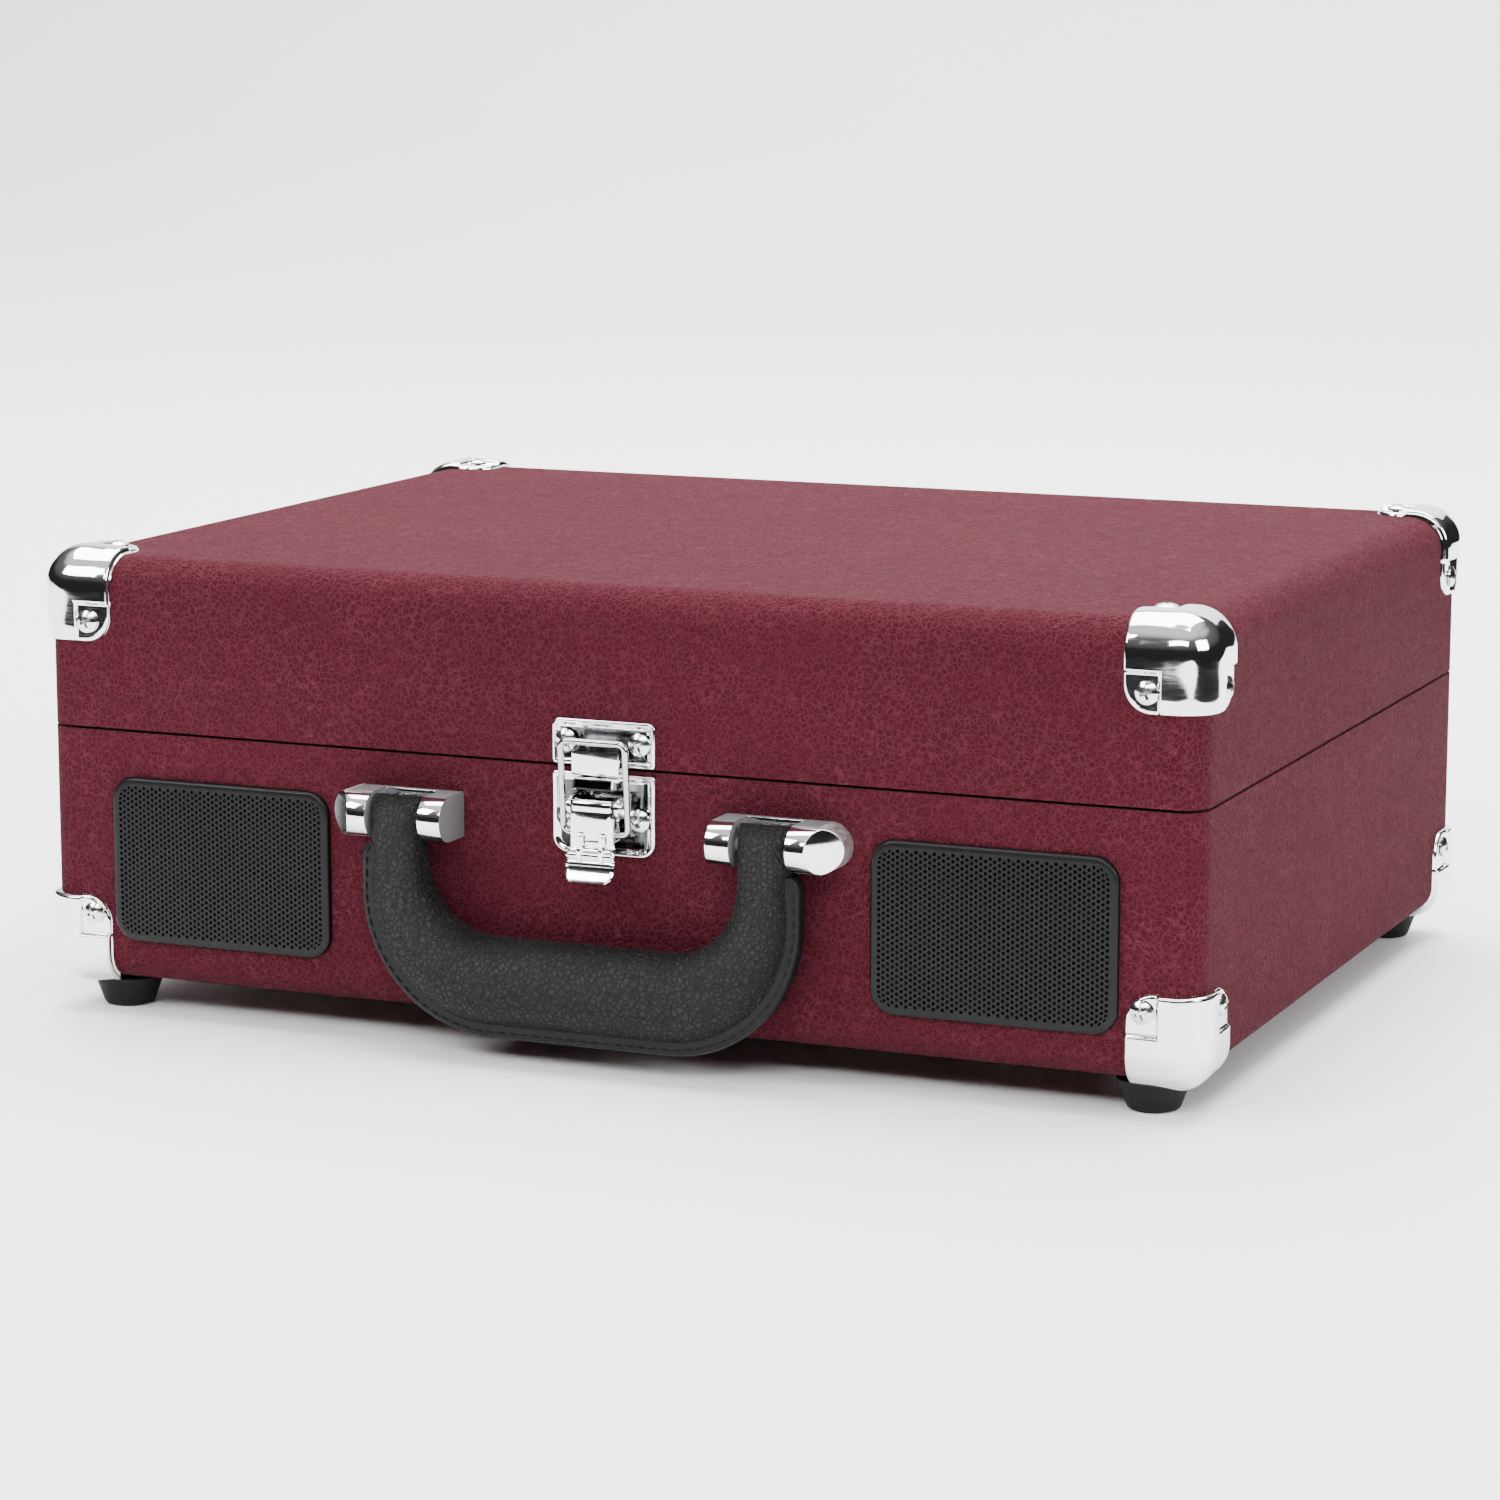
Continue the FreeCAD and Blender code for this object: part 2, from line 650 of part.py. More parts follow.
SIDE = {-1: "left", 1: "right"}
END = {-1: "front", 1: "rear"}
for sx in (-1, 1):
    for sy in (-1, 1):
        for top in (False, True):
            form = corner_form(sx, sy, top)
            where = [a for a in (lid_screws if top else base_screws) if a[0][0] * sx > 150 and a[0][1] * sy > 100]
            for a, o in where:
                form = form.cut(hole_form(a, o, S.screw_shank.v + gap, 6.0))
            if not top:
                form = form.cut(Part.makeCylinder(1.5 + gap, 20, Vector(sx * FX, sy * FY, -10)))
            name = "corner_%s_%s_%s" % ("lid" if top else "base", END[sy], SIDE[sx])
            keep(feature(form, "Corner"), name)

keep(feature(Part.makeCompound([screw_form(a, o) for a, o in base_screws]), "CaseScrews"), "case_screws_base")
keep(feature(Part.makeCompound([screw_form(a, o) for a, o in lid_screws]), "CaseScrews"), "case_screws_lid")
keep(
    feature(
        Part.makeCompound(
            [screw_form(a, o, 3.0, 1.3, 1.5, 14.0) for a, o in foot_screws]
            + [screw_form(a, o, 2.6, 1.2, 1.3, 11.5) for a, o in deck_screws]
            + [screw_form(a, o, 2.4, 0.75, 1.3, 5.7) for a, o in panel_screws]
        ),
        "WoodScrews",
    ),
    "wood_screws",
)

# ---- feet -------------------------------------------------------------------------

FH = S.foot_height - T
feet = []
for sx in (-1, 1):
    for sy in (-1, 1):
        foot = cone(sx * S.foot_x, sy * S.foot_y, -S.foot_height, S.foot_bottom, S.foot_top, FH, "Z", "FootTaper")
        foot = rounded(foot, [(lambda e: z_of(e, -S.foot_height), 1.2)], "Foot")
        well = rod(sx * S.foot_x, sy * S.foot_y, -S.foot_height - 1, 3.6, 5.0, "Z", "FootWell")
        bore = rod(sx * S.foot_x, sy * S.foot_y, -S.foot_height - 1, 1.5 + gap, 20.0, "Z", "FootBore")
        feet.append(cut(foot, [well, bore], "FootForm"))
keep(fuse(feet, "Feet"), "rubber_feet")

# ---- grilles and speakers ---------------------------------------------------------

GW, GH = S.grille_width / 2, S.grille_height / 2
for sx in (-1, 1):
    body = new_body("Grille")
    sk = sketch(body, "XZ_Plane", HD)
    rect(sk, sx * S.grille_x - GW, S.grille_z - GH, sx * S.grille_x + GW, S.grille_z + GH)
    pad(body, sk, S.grille_rise)
    edge_fillet(body, S.grille_corner, lambda e: along(e, "y"))
    edge_fillet(body, 0.9, lambda e: y_of(e, -HD - S.grille_rise))
    sk = sketch(body, "XZ_Plane", HD)
    rect(sk, sx * S.grille_x - GW + 4, S.grille_z - GH + 4, sx * S.grille_x + GW - 4, S.grille_z + GH - 4)
    pocket(body, sk, 0.8)
    keep(body, "grille_%s" % SIDE[sx])

frames, cones = [], []
for sx in (-1, 1):
    y0 = n(-HD + CT + S.wall)
    prof = [(24.0, 0), (27.5, 0), (27.5, 1.5), (22.5, 3), (14, 16), (15.5, 16), (15.5, 26), (0, 26), (0, 18), (3.5, 18), (3.5, 14), (11, 14), (21, 3)]
    wire = Part.makePolygon([Vector(r, 0, h) for r, h in prof + prof[:1]])
    frame = Part.Face(wire).revolve(Vector(0, 0, 0), Vector(0, 0, 1), 360)
    cone_prof = [(23.5, 0.2), (22.2, -1.2), (20.6, 0.2), (6.5, 11), (3.6, 7.5), (0, 6.6), (0, 7.4), (3.2, 8.2), (6.2, 12.2), (20.6, 1.4), (22.2, 0.2), (23.5, 1.2)]
    wire = Part.makePolygon([Vector(r, 0, h) for r, h in cone_prof + cone_prof[:1]])
    diaphragm = Part.Face(wire).revolve(Vector(0, 0, 0), Vector(0, 0, 1), 360)
    diaphragm = diaphragm.cut(frame)
    at = Placement(Vector(sx * S.grille_x.v, y0, S.grille_z.v), TURN["Y"])
    for form, store in ((frame, frames), (diaphragm, cones)):
        form.Placement = at
        store.append(form)
keep(feature(Part.makeCompound(frames), "SpeakerFrames"), "speaker_frames")
keep(feature(Part.makeCompound(cones), "SpeakerCones"), "speaker_cones")

# ---- handle -----------------------------------------------------------------------

HPY, HPZ = S.handle_pivot_y.v, S.handle_pivot_z.v
for sx in (-1, 1):
    r, x0, x1 = S.bracket_radius.v, S.bracket_in.v, S.bracket_out.v
    nose = Part.makeCylinder(r, x1 - x0, Vector(x0, HPY, HPZ), Vector(1, 0, 0))
    back = Part.makeBox(x1 - x0, -HPY - HY, 2 * r, Vector(x0, HPY, HPZ - r))
    form = nose.fuse(back).removeSplitter()
    yb = -HY - S.bracket_base.v
    mouth = Part.makeBox(64.2 - 47.6, 40, 40, Vector(47.6, yb - 40, HPZ - 20))
    form = form.cut(mouth)
    # seen from the front the outer end is a half round
    plan = Part.makeBox(x1 - r - x0, 40, 2 * r, Vector(x0, -HY - 40, HPZ - r))
    plan = plan.fuse(Part.makeCylinder(r, 40, Vector(x1 - r, -HY - 40, HPZ), Vector(0, 1, 0)))
    form = form.common(plan)
    # the outer end is scooped down to the case in one hollow facet
    lean = Part.makeCylinder(19.0, 70, Vector(87.0, -158.0, HPZ - 35), Vector(0, 0, 1))
    form = form.cut(lean)
    form = form.cut(Part.makeCylinder(S.handle_pin.v + 0.02, 26.0, Vector(44.0, HPY, HPZ), Vector(1, 0, 0)))
    form = form.removeSplitter()
    if sx < 0:
        form = form.mirror(Vector(0, 0, 0), Vector(1, 0, 0))
    keep(feature(form, "Bracket"), "handle_bracket_%s" % SIDE[sx])

pins = []
for sx in (-1, 1):
    x0 = 44.2 if sx > 0 else -69.8
    pins.append(rod(x0, S.handle_pivot_y, S.handle_pivot_z, S.handle_pin, 25.6, "X", "HandlePin"))
keep(fuse(pins, "HandlePins"), "handle_pins")

# grip: a U of padded strap, its ends rounded round the pins
HO, HI = S.handle_half.v, S.handle_inside.v
zb, zi = S.handle_bottom.v, S.handle_gap.v


def u_wire(half, low, radius, top):
    pts = [Vector(-half, 0, top), Vector(-half, 0, low + radius)]
    edges = [Part.LineSegment(pts[0], pts[1]).toShape()]
    k = radius * (1 - math.sqrt(0.5))
    edges.append(Part.Arc(pts[1], Vector(-half + k, 0, low + k), Vector(-half + radius, 0, low)).toShape())
    edges.append(Part.LineSegment(Vector(-half + radius, 0, low), Vector(half - radius, 0, low)).toShape())
    edges.append(Part.Arc(Vector(half - radius, 0, low), Vector(half - k, 0, low + k), Vector(half, 0, low + radius)).toShape())
    edges.append(Part.LineSegment(Vector(half, 0, low + radius), Vector(half, 0, top)).toShape())
    return edges


top_z = HPZ - 7.5
edges = u_wire(HO, zb, 40.0, top_z)
inner_edges = u_wire(HI, zi, 21.0, top_z)
close = [
    Part.LineSegment(Vector(HO, 0, top_z), Vector(HI, 0, top_z)).toShape(),
    Part.LineSegment(Vector(-HI, 0, top_z), Vector(-HO, 0, top_z)).toShape(),
]
outline = Part.Wire(Part.__sortEdges__(edges + inner_edges + close))
grip = Part.Face(outline).extrude(Vector(0, S.handle_thick.v, 0))
grip.translate(Vector(0, -S.handle_thick.v / 2, 0))
long_edges = [
    e for e in grip.Edges
    if abs(abs(e.CenterOfMass.y) - S.handle_thick.v / 2) < 1e-3 and abs(e.BoundBox.ZMin - top_z) > 1e-3
]
grip = grip.makeFillet(6.5, long_edges)
grip.translate(Vector(0, HPY, 0))
for sx in (-1, 1):
    x0, x1 = (48.0, 63.8) if sx > 0 else (-63.8, -48.0)
    neck = Part.makeBox(x1 - x0, 12.6, 12.0, Vector(x0, HPY - 6.3, HPZ - 12.0))
    end = Part.makeCylinder(6.3, x1 - x0, Vector(x0, HPY, HPZ), Vector(1, 0, 0))
    grip = grip.fuse(neck).fuse(end)
for sx in (-1, 1):
    grip = grip.cut(Part.makeCylinder(S.handle_pin.v + 0.06, 20.0, Vector(46.0 if sx > 0 else -66.0, HPY, HPZ), Vector(1, 0, 0)))
grip = grip.removeSplitter()
keep(feature(grip, "Grip"), "handle_grip")

# ---- latch ------------------------------------------------------------------------

LX, LH, LP = S.latch_x, S.latch_width / 2, S.latch_plate
AY, AZ = S.lever_pivot_y.v, S.lever_pivot_z.v
BY, BZ = S.bail_pivot_y.v, S.bail_pivot_z.v
lx = LX.v

body = new_body("LowerPlate")
sk = sketch(body, "XZ_Plane", HD)
rect(sk, LX - LH, S.latch_low, LX + LH, S.latch_mid_low)
pad(body, sk, LP)
edge_fillet(body, 4.5, lambda e: along(e, "y") and e.CenterOfMass.z < 55)
edge_fillet(body, 1.0, lambda e: along(e, "y") and e.CenterOfMass.z > 70)
edge_fillet(body, 0.7, lambda e: y_of(e, -HD - LP))
sk = sketch(body, "XZ_Plane", HD)
for dx in (-11.0, 11.0):
    circle(sk, LX + dx, 61.0, S.screw_shank + gap)
pocket(body, sk, 5.0)
ears = []
for s in (-1, 1):
    x0 = lx + (6.7 if s > 0 else -7.8)
    ear = Part.makeBox(1.1, 6.0, 6.0, Vector(x0, AY - 0.4 + 0.4, AZ - 3.0))
    ear = ear.fuse(Part.makeCylinder(3.0, 1.1, Vector(x0, AY, AZ), Vector(1, 0, 0)))
    ear = ear.common(Part.makeBox(4, 40, 40, Vector(x0 - 1, AY - 20, AZ - 20)))
    ear = ear.cut(Part.makeBox(4, 10, 40, Vector(x0 - 1, -HY - LP.v + 0.3, AZ - 20)))
    ear = ear.cut(Part.makeCylinder(1.22, 6, Vector(x0 - 2, AY, AZ), Vector(1, 0, 0)))
    ears.append(feature(ear, "Ear"))
keep(fuse([body] + ears, "LowerPlateEars"), "latch_base_plate")

pin = rod(LX - 8.2, S.lever_pivot_y, S.lever_pivot_z, 1.2, 16.4, "X", "LeverPin")
keep(fuse([pin, rod(LX - 8.5, S.lever_pivot_y, S.lever_pivot_z, 1.9, 0.7, "X", "PinHead"), rod(LX + 7.8, S.lever_pivot_y, S.lever_pivot_z, 1.9, 0.7, "X", "PinHead")], "LeverPinForm"), "latch_lever_pin")

# strike plate with its hook, open at the top
body = new_body("StrikePlate")
sk = sketch(body, "XZ_Plane", HD)
rect(sk, LX - LH, S.latch_mid_high, LX + LH, S.latch_high)
pad(body, sk, LP)
edge_fillet(body, 2.2, lambda e: along(e, "y") and e.CenterOfMass.z > 85)
edge_fillet(body, 1.0, lambda e: along(e, "y") and e.CenterOfMass.z < 80)
edge_fillet(body, 0.7, lambda e: y_of(e, -HD - LP))
sk = sketch(body, "XZ_Plane", HD)
for dx in (-11.0, 11.0):
    circle(sk, LX + dx * 1.02, 82.5, S.screw_shank + gap)
pocket(body, sk, 5.0)
hook_front = box(LX - 7.2, -141.2, 73.4, LX + 7.2, -140.2, 81.0, "HookFront")
hook_floor = box(LX - 7.2, -141.2, 73.4, LX + 7.2, -HD - LP - 0.4, 74.5, "HookFloor")
hook_root = box(LX - 7.2, -HD - LP - 1.5, 73.4, LX + 7.2, -HD - LP - 0.4, 77.0, "HookRoot")
hook_weld = box(LX - 7.2, -HD - LP - 1.5, 76.0, LX + 7.2, -HD - LP + 0.5, 77.0, "HookWeld")
hook = rounded(fuse([hook_front, hook_floor], "HookBend"), [(lambda e: along(e, "x") and abs(e.CenterOfMass.y + 141.2) < 1e-3 and e.CenterOfMass.z < 74, 0.9)], "HookRounded")
keep(fuse([body, hook, hook_root, hook_weld], "StrikeForm"), "latch_strike_plate")

# lever: a channel on the pin, open at the back, with two slots for the finger tab
front = Part.makeBox(12.9, 1.0, 13.4, Vector(lx - 6.45, -143.2, 53.8))
sides = []
for s in (-1, 1):
    x0 = lx + (5.5 if s > 0 else -6.4)
    side = Part.makeBox(0.9, 4.4, 11.0, Vector(x0, -142.4, 55.6))
    side = side.fuse(Part.makeCylinder(2.2, 0.9, Vector(x0, AY, AZ), Vector(1, 0, 0)))
    side = side.cut(Part.makeBox(3, 6, 8, Vector(x0 - 1, -138.6, 54.0)))
    sides.append(side)
lever = front
for side in sides:
    lever = lever.fuse(side)
for yz, r in (((AY, AZ), 1.26), ((BY, BZ), 0.95 + 0.06)):
    lever = lever.cut(Part.makeCylinder(r, 20, Vector(lx - 10, yz[0], yz[1]), Vector(1, 0, 0)))
keepout = Part.makeCylinder(3.95, 20, Vector(lx - 10, AY, AZ), Vector(1, 0, 0))
upper = Part.makeBox(20, 12, 10, Vector(lx - 10, -146, AZ))
lever = lever.cut(upper.cut(keepout))
for dx in (-3.3, 3.3):
    lever = lever.cut(Part.makeBox(1.5, 4, 2.6, Vector(lx + dx - 0.75, -145, 55.6)))
lever = lever.removeSplitter()
keep(feature(lever, "Lever"), "latch_lever")

# finger tab: two lugs through the lever's slots, a flared lip below
lip = Part.Face(Part.makePolygon([Vector(lx - 7.3, y, z) for y, z in (
    (-143.4, 53.4), (-144.4, 53.4), (-144.2, 49.6), (-147.2, 44.6), (-146.3, 44.1), (-143.2, 49.2), (-143.4, 53.4))]))
tab = lip.extrude(Vector(14.6, 0, 0))
for dx in (-3.3, 3.3):
    lug = Part.makeBox(1.4, 1.0, 5.4, Vector(lx + dx - 0.7, -144.4, 52.6))
    lug = lug.fuse(Part.makeBox(1.4, 2.9, 0.9, Vector(lx + dx - 0.7, -144.4, 57.15)))
    tab = tab.fuse(lug)
tab = tab.removeSplitter()
keep(feature(tab, "FingerTab"), "latch_finger_tab")


def wire_path(points, radius):
    """Straight runs joined by arcs of one radius."""
    edges, last = [], points[0]
    for a, b, c in zip(points, points[1:], points[2:]):
        u, w = (a - b).normalize(), (c - b).normalize()
        half = u.getAngle(w) / 2
        d = radius / math.tan(half)
        p, q = b + u * d, b + w * d
        mid = b + (u + w).normalize() * (radius / math.sin(half) - radius)
        edges.append(Part.LineSegment(last, p).toShape())
        edges.append(Part.Arc(p, mid, q).toShape())
        last = q
    edges.append(Part.LineSegment(last, points[-1]).toShape())
    return Part.Wire(edges)


BH, TY, TZ = S.bail_half.v, S.bail_top_y.v, S.bail_top_z.v
route = [
    Vector(lx - 5.7, BY, BZ), Vector(lx - BH, BY, BZ), Vector(lx - BH, TY, TZ),
    Vector(lx + BH, TY, TZ), Vector(lx + BH, BY, BZ), Vector(lx + 5.7, BY, BZ),
]
path = wire_path(route, 2.2)
ring = Part.Wire(Part.makeCircle(S.bail_wire.v, route[0], Vector(1, 0, 0)))
bail = path.makePipeShell([ring], True, False)
keep(feature(bail, "Bail"), "latch_bail")

# ---- hinges -----------------------------------------------------------------------

HGY, HGZ = S.hinge_y.v, S.hinge_z.v
base_leaves, lid_leaves, hinge_pins = [], [], []
for sx in (-1, 1):
    cx = sx * S.hinge_x.v
    pin_axis = Vector(1, 0, 0)
    low = Part.makeBox(44, 1.2, 16, Vector(cx - 22, HY + 0.02, 56))
    high = Part.makeBox(44, 1.2, 16, Vector(cx - 22, HY + 0.02, 78))
    for a, b in ((-22, -8.3), (8.3, 22)):
        low = low.fuse(Part.makeCylinder(S.hinge_knuckle.v, b - a, Vector(cx + a, HGY, HGZ), pin_axis))
        low = low.fuse(Part.makeBox(b - a, 1.6, 3.4, Vector(cx + a, HY + 0.3, 71.0)))
    high = high.fuse(Part.makeCylinder(S.hinge_knuckle.v, 16.0, Vector(cx - 8, HGY, HGZ), pin_axis))
    high = high.fuse(Part.makeBox(16, 1.6, 3.4, Vector(cx - 8, HY + 0.3, 75.6)))
    low = low.cut(Part.makeCylinder(S.hinge_pin.v + 0.01, 60, Vector(cx - 30, HGY, HGZ), pin_axis))
    high = high.cut(Part.makeCylinder(S.hinge_pin.v + 0.05, 60, Vector(cx - 30, HGY, HGZ), pin_axis))
    for dx in (-14.0, 14.0):
        low = low.cut(Part.makeCylinder(S.screw_shank.v + gap, 20, Vector(cx + dx, HY - 8, 62.0), Vector(0, 1, 0)))
        high = high.cut(Part.makeCylinder(S.screw_shank.v + gap, 20, Vector(cx + dx, HY - 8, 88.0), Vector(0, 1, 0)))
    base_leaves.append(low.removeSplitter())
    lid_leaves.append(high.removeSplitter())
    hinge_pins.append(rod(cx - 22.5, S.hinge_y, S.hinge_z, S.hinge_pin, 45, "X", "HingePin"))
keep(feature(Part.makeCompound(base_leaves), "HingeBase"), "hinge_leaves_base")
keep(feature(Part.makeCompound(lid_leaves), "HingeLid"), "hinge_leaves_lid")
keep(fuse(hinge_pins, "HingePins"), "hinge_pins")

# ---- deck -------------------------------------------------------------------------

DX, DY = HW - IN - 0.3, HD - IN - 0.3
PX, PY, MX, MY = S.platter_x, S.platter_y, S.motor_x, S.motor_y
KX = S.knob_x
body = new_body("DeckPanel")
sk = sketch(body, "XY_Plane", S.deck_low)
rect(sk, -DX, -DY, DX, DY)
pad(body, sk, S.deck_top - S.deck_low)
edge_fillet(body, 3.0, lambda e: along(e, "z"))
edge_fillet(body, 0.8, lambda e: z_of(e, S.deck_top))
sk = sketch(body, "XY_Plane", S.deck_top)
circle(sk, PX, PY, 6.1)
circle(sk, MX, MY, 8.0)
circle(sk, KX, S.volume_y, 3.6)
circle(sk, KX, S.function_y, 3.6)
circle(sk, KX, S.jack_y1, 4.05)
circle(sk, KX, S.jack_y2, 4.05)
circle(sk, 103.8, 67.3, 2.6)
for (x, y, z), o in deck_screws:
    circle(sk, x, y, 1.3 + gap)
pocket(body, sk, 10.0)
sk = sketch(body, "XY_Plane", S.deck_top)
rect(sk, KX - 2, S.speed_y - 7, KX + 2, S.speed_y + 7)
rect(sk, S.stop_x - 2, S.speed_y - 5, S.stop_x + 2, S.speed_y + 5)
pocket(body, sk, 10.0)
sk = sketch(body, "XY_Plane", S.deck_top)
circle(sk, S.adapter_x, S.adapter_y, S.adapter_radius + 0.5)
pocket(body, sk, 1.4)
keep(body, "deck_panel")

# platter, slipmat, spindle and bearing
PR, PT, DR = S.platter_radius, S.platter_top, S.drive_radius
turned("platter", [
    (4.0, PT - 12.9), (9.0, PT - 12.9), (9.0, PT - 3), (DR - 4, PT - 3),
    (DR - 4, PT - 10.9), (DR, PT - 10.9), (DR, PT - 3), (PR - 3, PT - 3), (PR - 3, PT - 11.4),
    (PR, PT - 11.4), (PR, PT - 0.8), (PR - 0.8, PT), (4.0, PT)], PX, PY)
turned("slipmat", [(4.05, PT), (PR - 1.5, PT), (PR - 1.5, S.mat_top - 0.2), (PR - 2.2, S.mat_top), (4.05, S.mat_top)], PX, PY)
SR = S.spindle_radius
turned("spindle", [(0, 44.4), (4.0, 44.4), (4.0, S.mat_top), (SR, S.mat_top), (SR, S.spindle_top - 2.6), (SR - 0.6, S.spindle_top - 1.2), (1.6, S.spindle_top - 0.2), (0, S.spindle_top)], PX, PY)
BR = S.bearing_gap + 4.0
turned("bearing_sleeve", [(0, 42.0), (6.0, 42.0), (6.0, 61.8), (12.0, 61.8), (12.0, 64.95), (6.0, 64.95), (6.0, 69.6), (BR, 69.6), (BR, 44.0), (0, 44.0)], PX, PY)

# motor, pulley and belt
motor_can = rod(MX, MY, 41.0, 16.0, 22.5, "Z", "MotorCan")
motor_can = rounded(motor_can, [(lambda e: z_of(e, 41.0), 1.5)], "MotorCanRounded")
motor_ears = rounded(box(MX - 24, MY - 7, 63.5, MX + 24, MY + 7, 64.95, "MotorPlate"), [(lambda e: along(e, "z"), 6.0)], "MotorEars")
keep(cut(fuse([motor_can, motor_ears], "MotorForm"), [rod(MX, MY, 47.0, 1.06, 30, "Z", "ShaftBore")], "MotorBored"), "motor")
UR = S.pulley_radius
turned("motor_pulley", [
    (0, 48.0), (1.0, 48.0), (1.0, 70.8), (UR + 1.2, 70.8), (UR + 1.2, 71.8), (UR, 72.4), (UR, 79.2), (UR - 0.6, 79.8), (0, 79.8)], MX, MY)


def belt_outline(r1, r2):
    """Two arcs round the ring and the pulley with their outer tangents."""
    c1, c2 = Vector(PX.v, PY.v, 73.6), Vector(MX.v, MY.v, 73.6)
    d = c2 - c1
    a = math.acos((r1 - r2) / d.Length)
    base = math.atan2(d.y, d.x)
    p = lambda c, r, t: c + Vector(math.cos(t), math.sin(t), 0) * r
    edges = [
        Part.LineSegment(p(c1, r1, base + a), p(c2, r2, base + a)).toShape(),
        Part.Arc(p(c2, r2, base + a), p(c2, r2, base), p(c2, r2, base - a)).toShape(),
        Part.LineSegment(p(c2, r2, base - a), p(c1, r1, base - a)).toShape(),
        Part.Arc(p(c1, r1, base - a), p(c1, r1, base + math.pi), p(c1, r1, base + a)).toShape(),
    ]
    return Part.Face(Part.Wire(edges))


bg, bt = S.belt_gap.v, S.belt_thick.v
belt = belt_outline(DR.v + bg + bt, UR.v + bg + bt).cut(belt_outline(DR.v + bg, UR.v + bg)).extrude(Vector(0, 0, 4.6))
keep(feature(belt, "Belt"), "drive_belt")

# ---- tonearm ----------------------------------------------------------------------

AX, AYY, ARZ, AR = S.arm_x, S.arm_y, S.arm_z, S.arm_radius
flange = rod(AX, AYY, S.deck_top, 25.0, 3.0, "Z", "ArmFlange")
column = rod(AX, AYY, S.deck_top, 11.0, 18.0, "Z", "ArmColumn")
flange_cone = cone(AX, AYY, S.deck_top + 3, 15.0, 11.0, 4.0, "Z", "ArmSkirt")
cue_foot = box(AX, 61, S.deck_top, 143, 78, S.deck_top + 3, "CueFoot")
cue_ear1 = box(129, 65.5, S.deck_top, 131.6, 74.5, 81.5, "CueEar")
cue_ear2 = box(138.8, 65.5, S.deck_top, 141.4, 74.5, 81.5, "CueEar")
cue_pin = rod(129, 70, 77.5, 1.5, 12.4, "X", "CuePin")
form = fuse([flange, column, flange_cone, cue_foot, cue_ear1, cue_ear2, cue_pin], "ArmBaseForm")
keep(cut(form, [rod(AX, AYY, S.deck_top + 1.6, 3.05, 20, "Z", "TurretBore"), rod(103.8, 67.3, 60, 2.06, 20, "Z", "CueBore")], "ArmBase"), "tonearm_base")

stem = rod(AX, AYY, S.deck_top + 2.0, 3.0, 17.0, "Z", "TurretStem")
disc = rod(AX, AYY, 86.4, 10.5, 2.8, "Z", "TurretDisc")
cheek1 = box(AX - 9.6, AYY - 5.5, 88.5, AX - 7.2, AYY + 5.5, 101.0, "Cheek")
cheek2 = box(AX + 7.2, AYY - 5.5, 88.5, AX + 9.6, AYY + 5.5, 101.0, "Cheek")
pin = rod(AX - 9.6, AYY, ARZ, 1.5, 19.2, "X", "ArmPin")
keep(fuse([stem, disc, cheek1, cheek2, pin], "Turret"), "tonearm_turret")

boss = rounded(box(AX - 6.2, AYY - 8, 92.2, AX + 6.2, AYY + 8, 101.8, "ArmBoss"), [(lambda e: along(e, "z") or along(e, "y"), 1.5)], "ArmBossRounded")
tube = rod(AX, AYY, ARZ, AR, 164.0, "-Y", "ArmTube")
tail = rod(AX, AYY, ARZ, 3.0, 26.0, "Y", "ArmTail")
weight = rod(AX, AYY + 13, ARZ, 8.4, 15.0, "Y", "ArmWeight")
weight = rounded(weight, [(lambda e: isinstance(e.Curve, Part.Circle), 1.0)], "ArmWeightRounded")
# head: a tapered shell, wider at the tube, with a finger lift on its outer side
ax, hy = AX.v, AYY.v
head = Part.Face(Part.makePolygon([Vector(x, y, 94.4) for x, y in (
    (ax - 5.0, hy - 160), (ax + 5.0, hy - 160), (ax + 8.5, hy - 168), (ax + 8.5, hy - 194), (ax + 6.5, hy - 199),
    (ax - 6.5, hy - 199), (ax - 8.5, hy - 194), (ax - 8.5, hy - 168), (ax - 5.0, hy - 160))])).extrude(Vector(0, 0, 5.4))
head = head.makeFillet(1.2, [e for e in head.Edges if abs(e.BoundBox.ZMin - 99.8) < 1e-3 and abs(e.BoundBox.ZMax - 99.8) < 1e-3])
head = head.cut(Part.makeBox(13.4, 26, 3.8, Vector(ax - 6.7, hy - 195, 94.0)))
lift = Part.makeBox(13.0, 4.0, 1.6, Vector(ax + 8.0, hy - 190, 97.6)).fuse(
    Part.makeCylinder(2.4, 1.6, Vector(ax + 21.0, hy - 188, 97.6)))
arm = fuse([boss, tube, tail, weight, feature(head.fuse(lift), "Head")], "ArmForm")
keep(cut(arm, [rod(AX - 20, AYY, ARZ, 1.56, 40, "X", "ArmPinBore")], "Arm"), "tonearm_tube")

cart = Part.makeBox(12.6, 18.0, 6.6, Vector(ax - 6.3, hy - 193.4, 91.2))
nose = Part.makeBox(6.0, 9.0, 3.0, Vector(ax - 3.0, hy - 193.4, 89.0))
tip = Part.makeCone(0.9, 0.12, 2.6, Vector(ax, hy - 188.0, 89.2), Vector(0, 0, -1))
cart = cart.cut(Part.makeBox(12.6, 6, 3, Vector(ax - 6.3, hy - 193.5 + 12.2, 90.5))).fuse(nose).fuse(tip).removeSplitter()
keep(feature(cart, "Cartridge"), "stylus_cartridge")

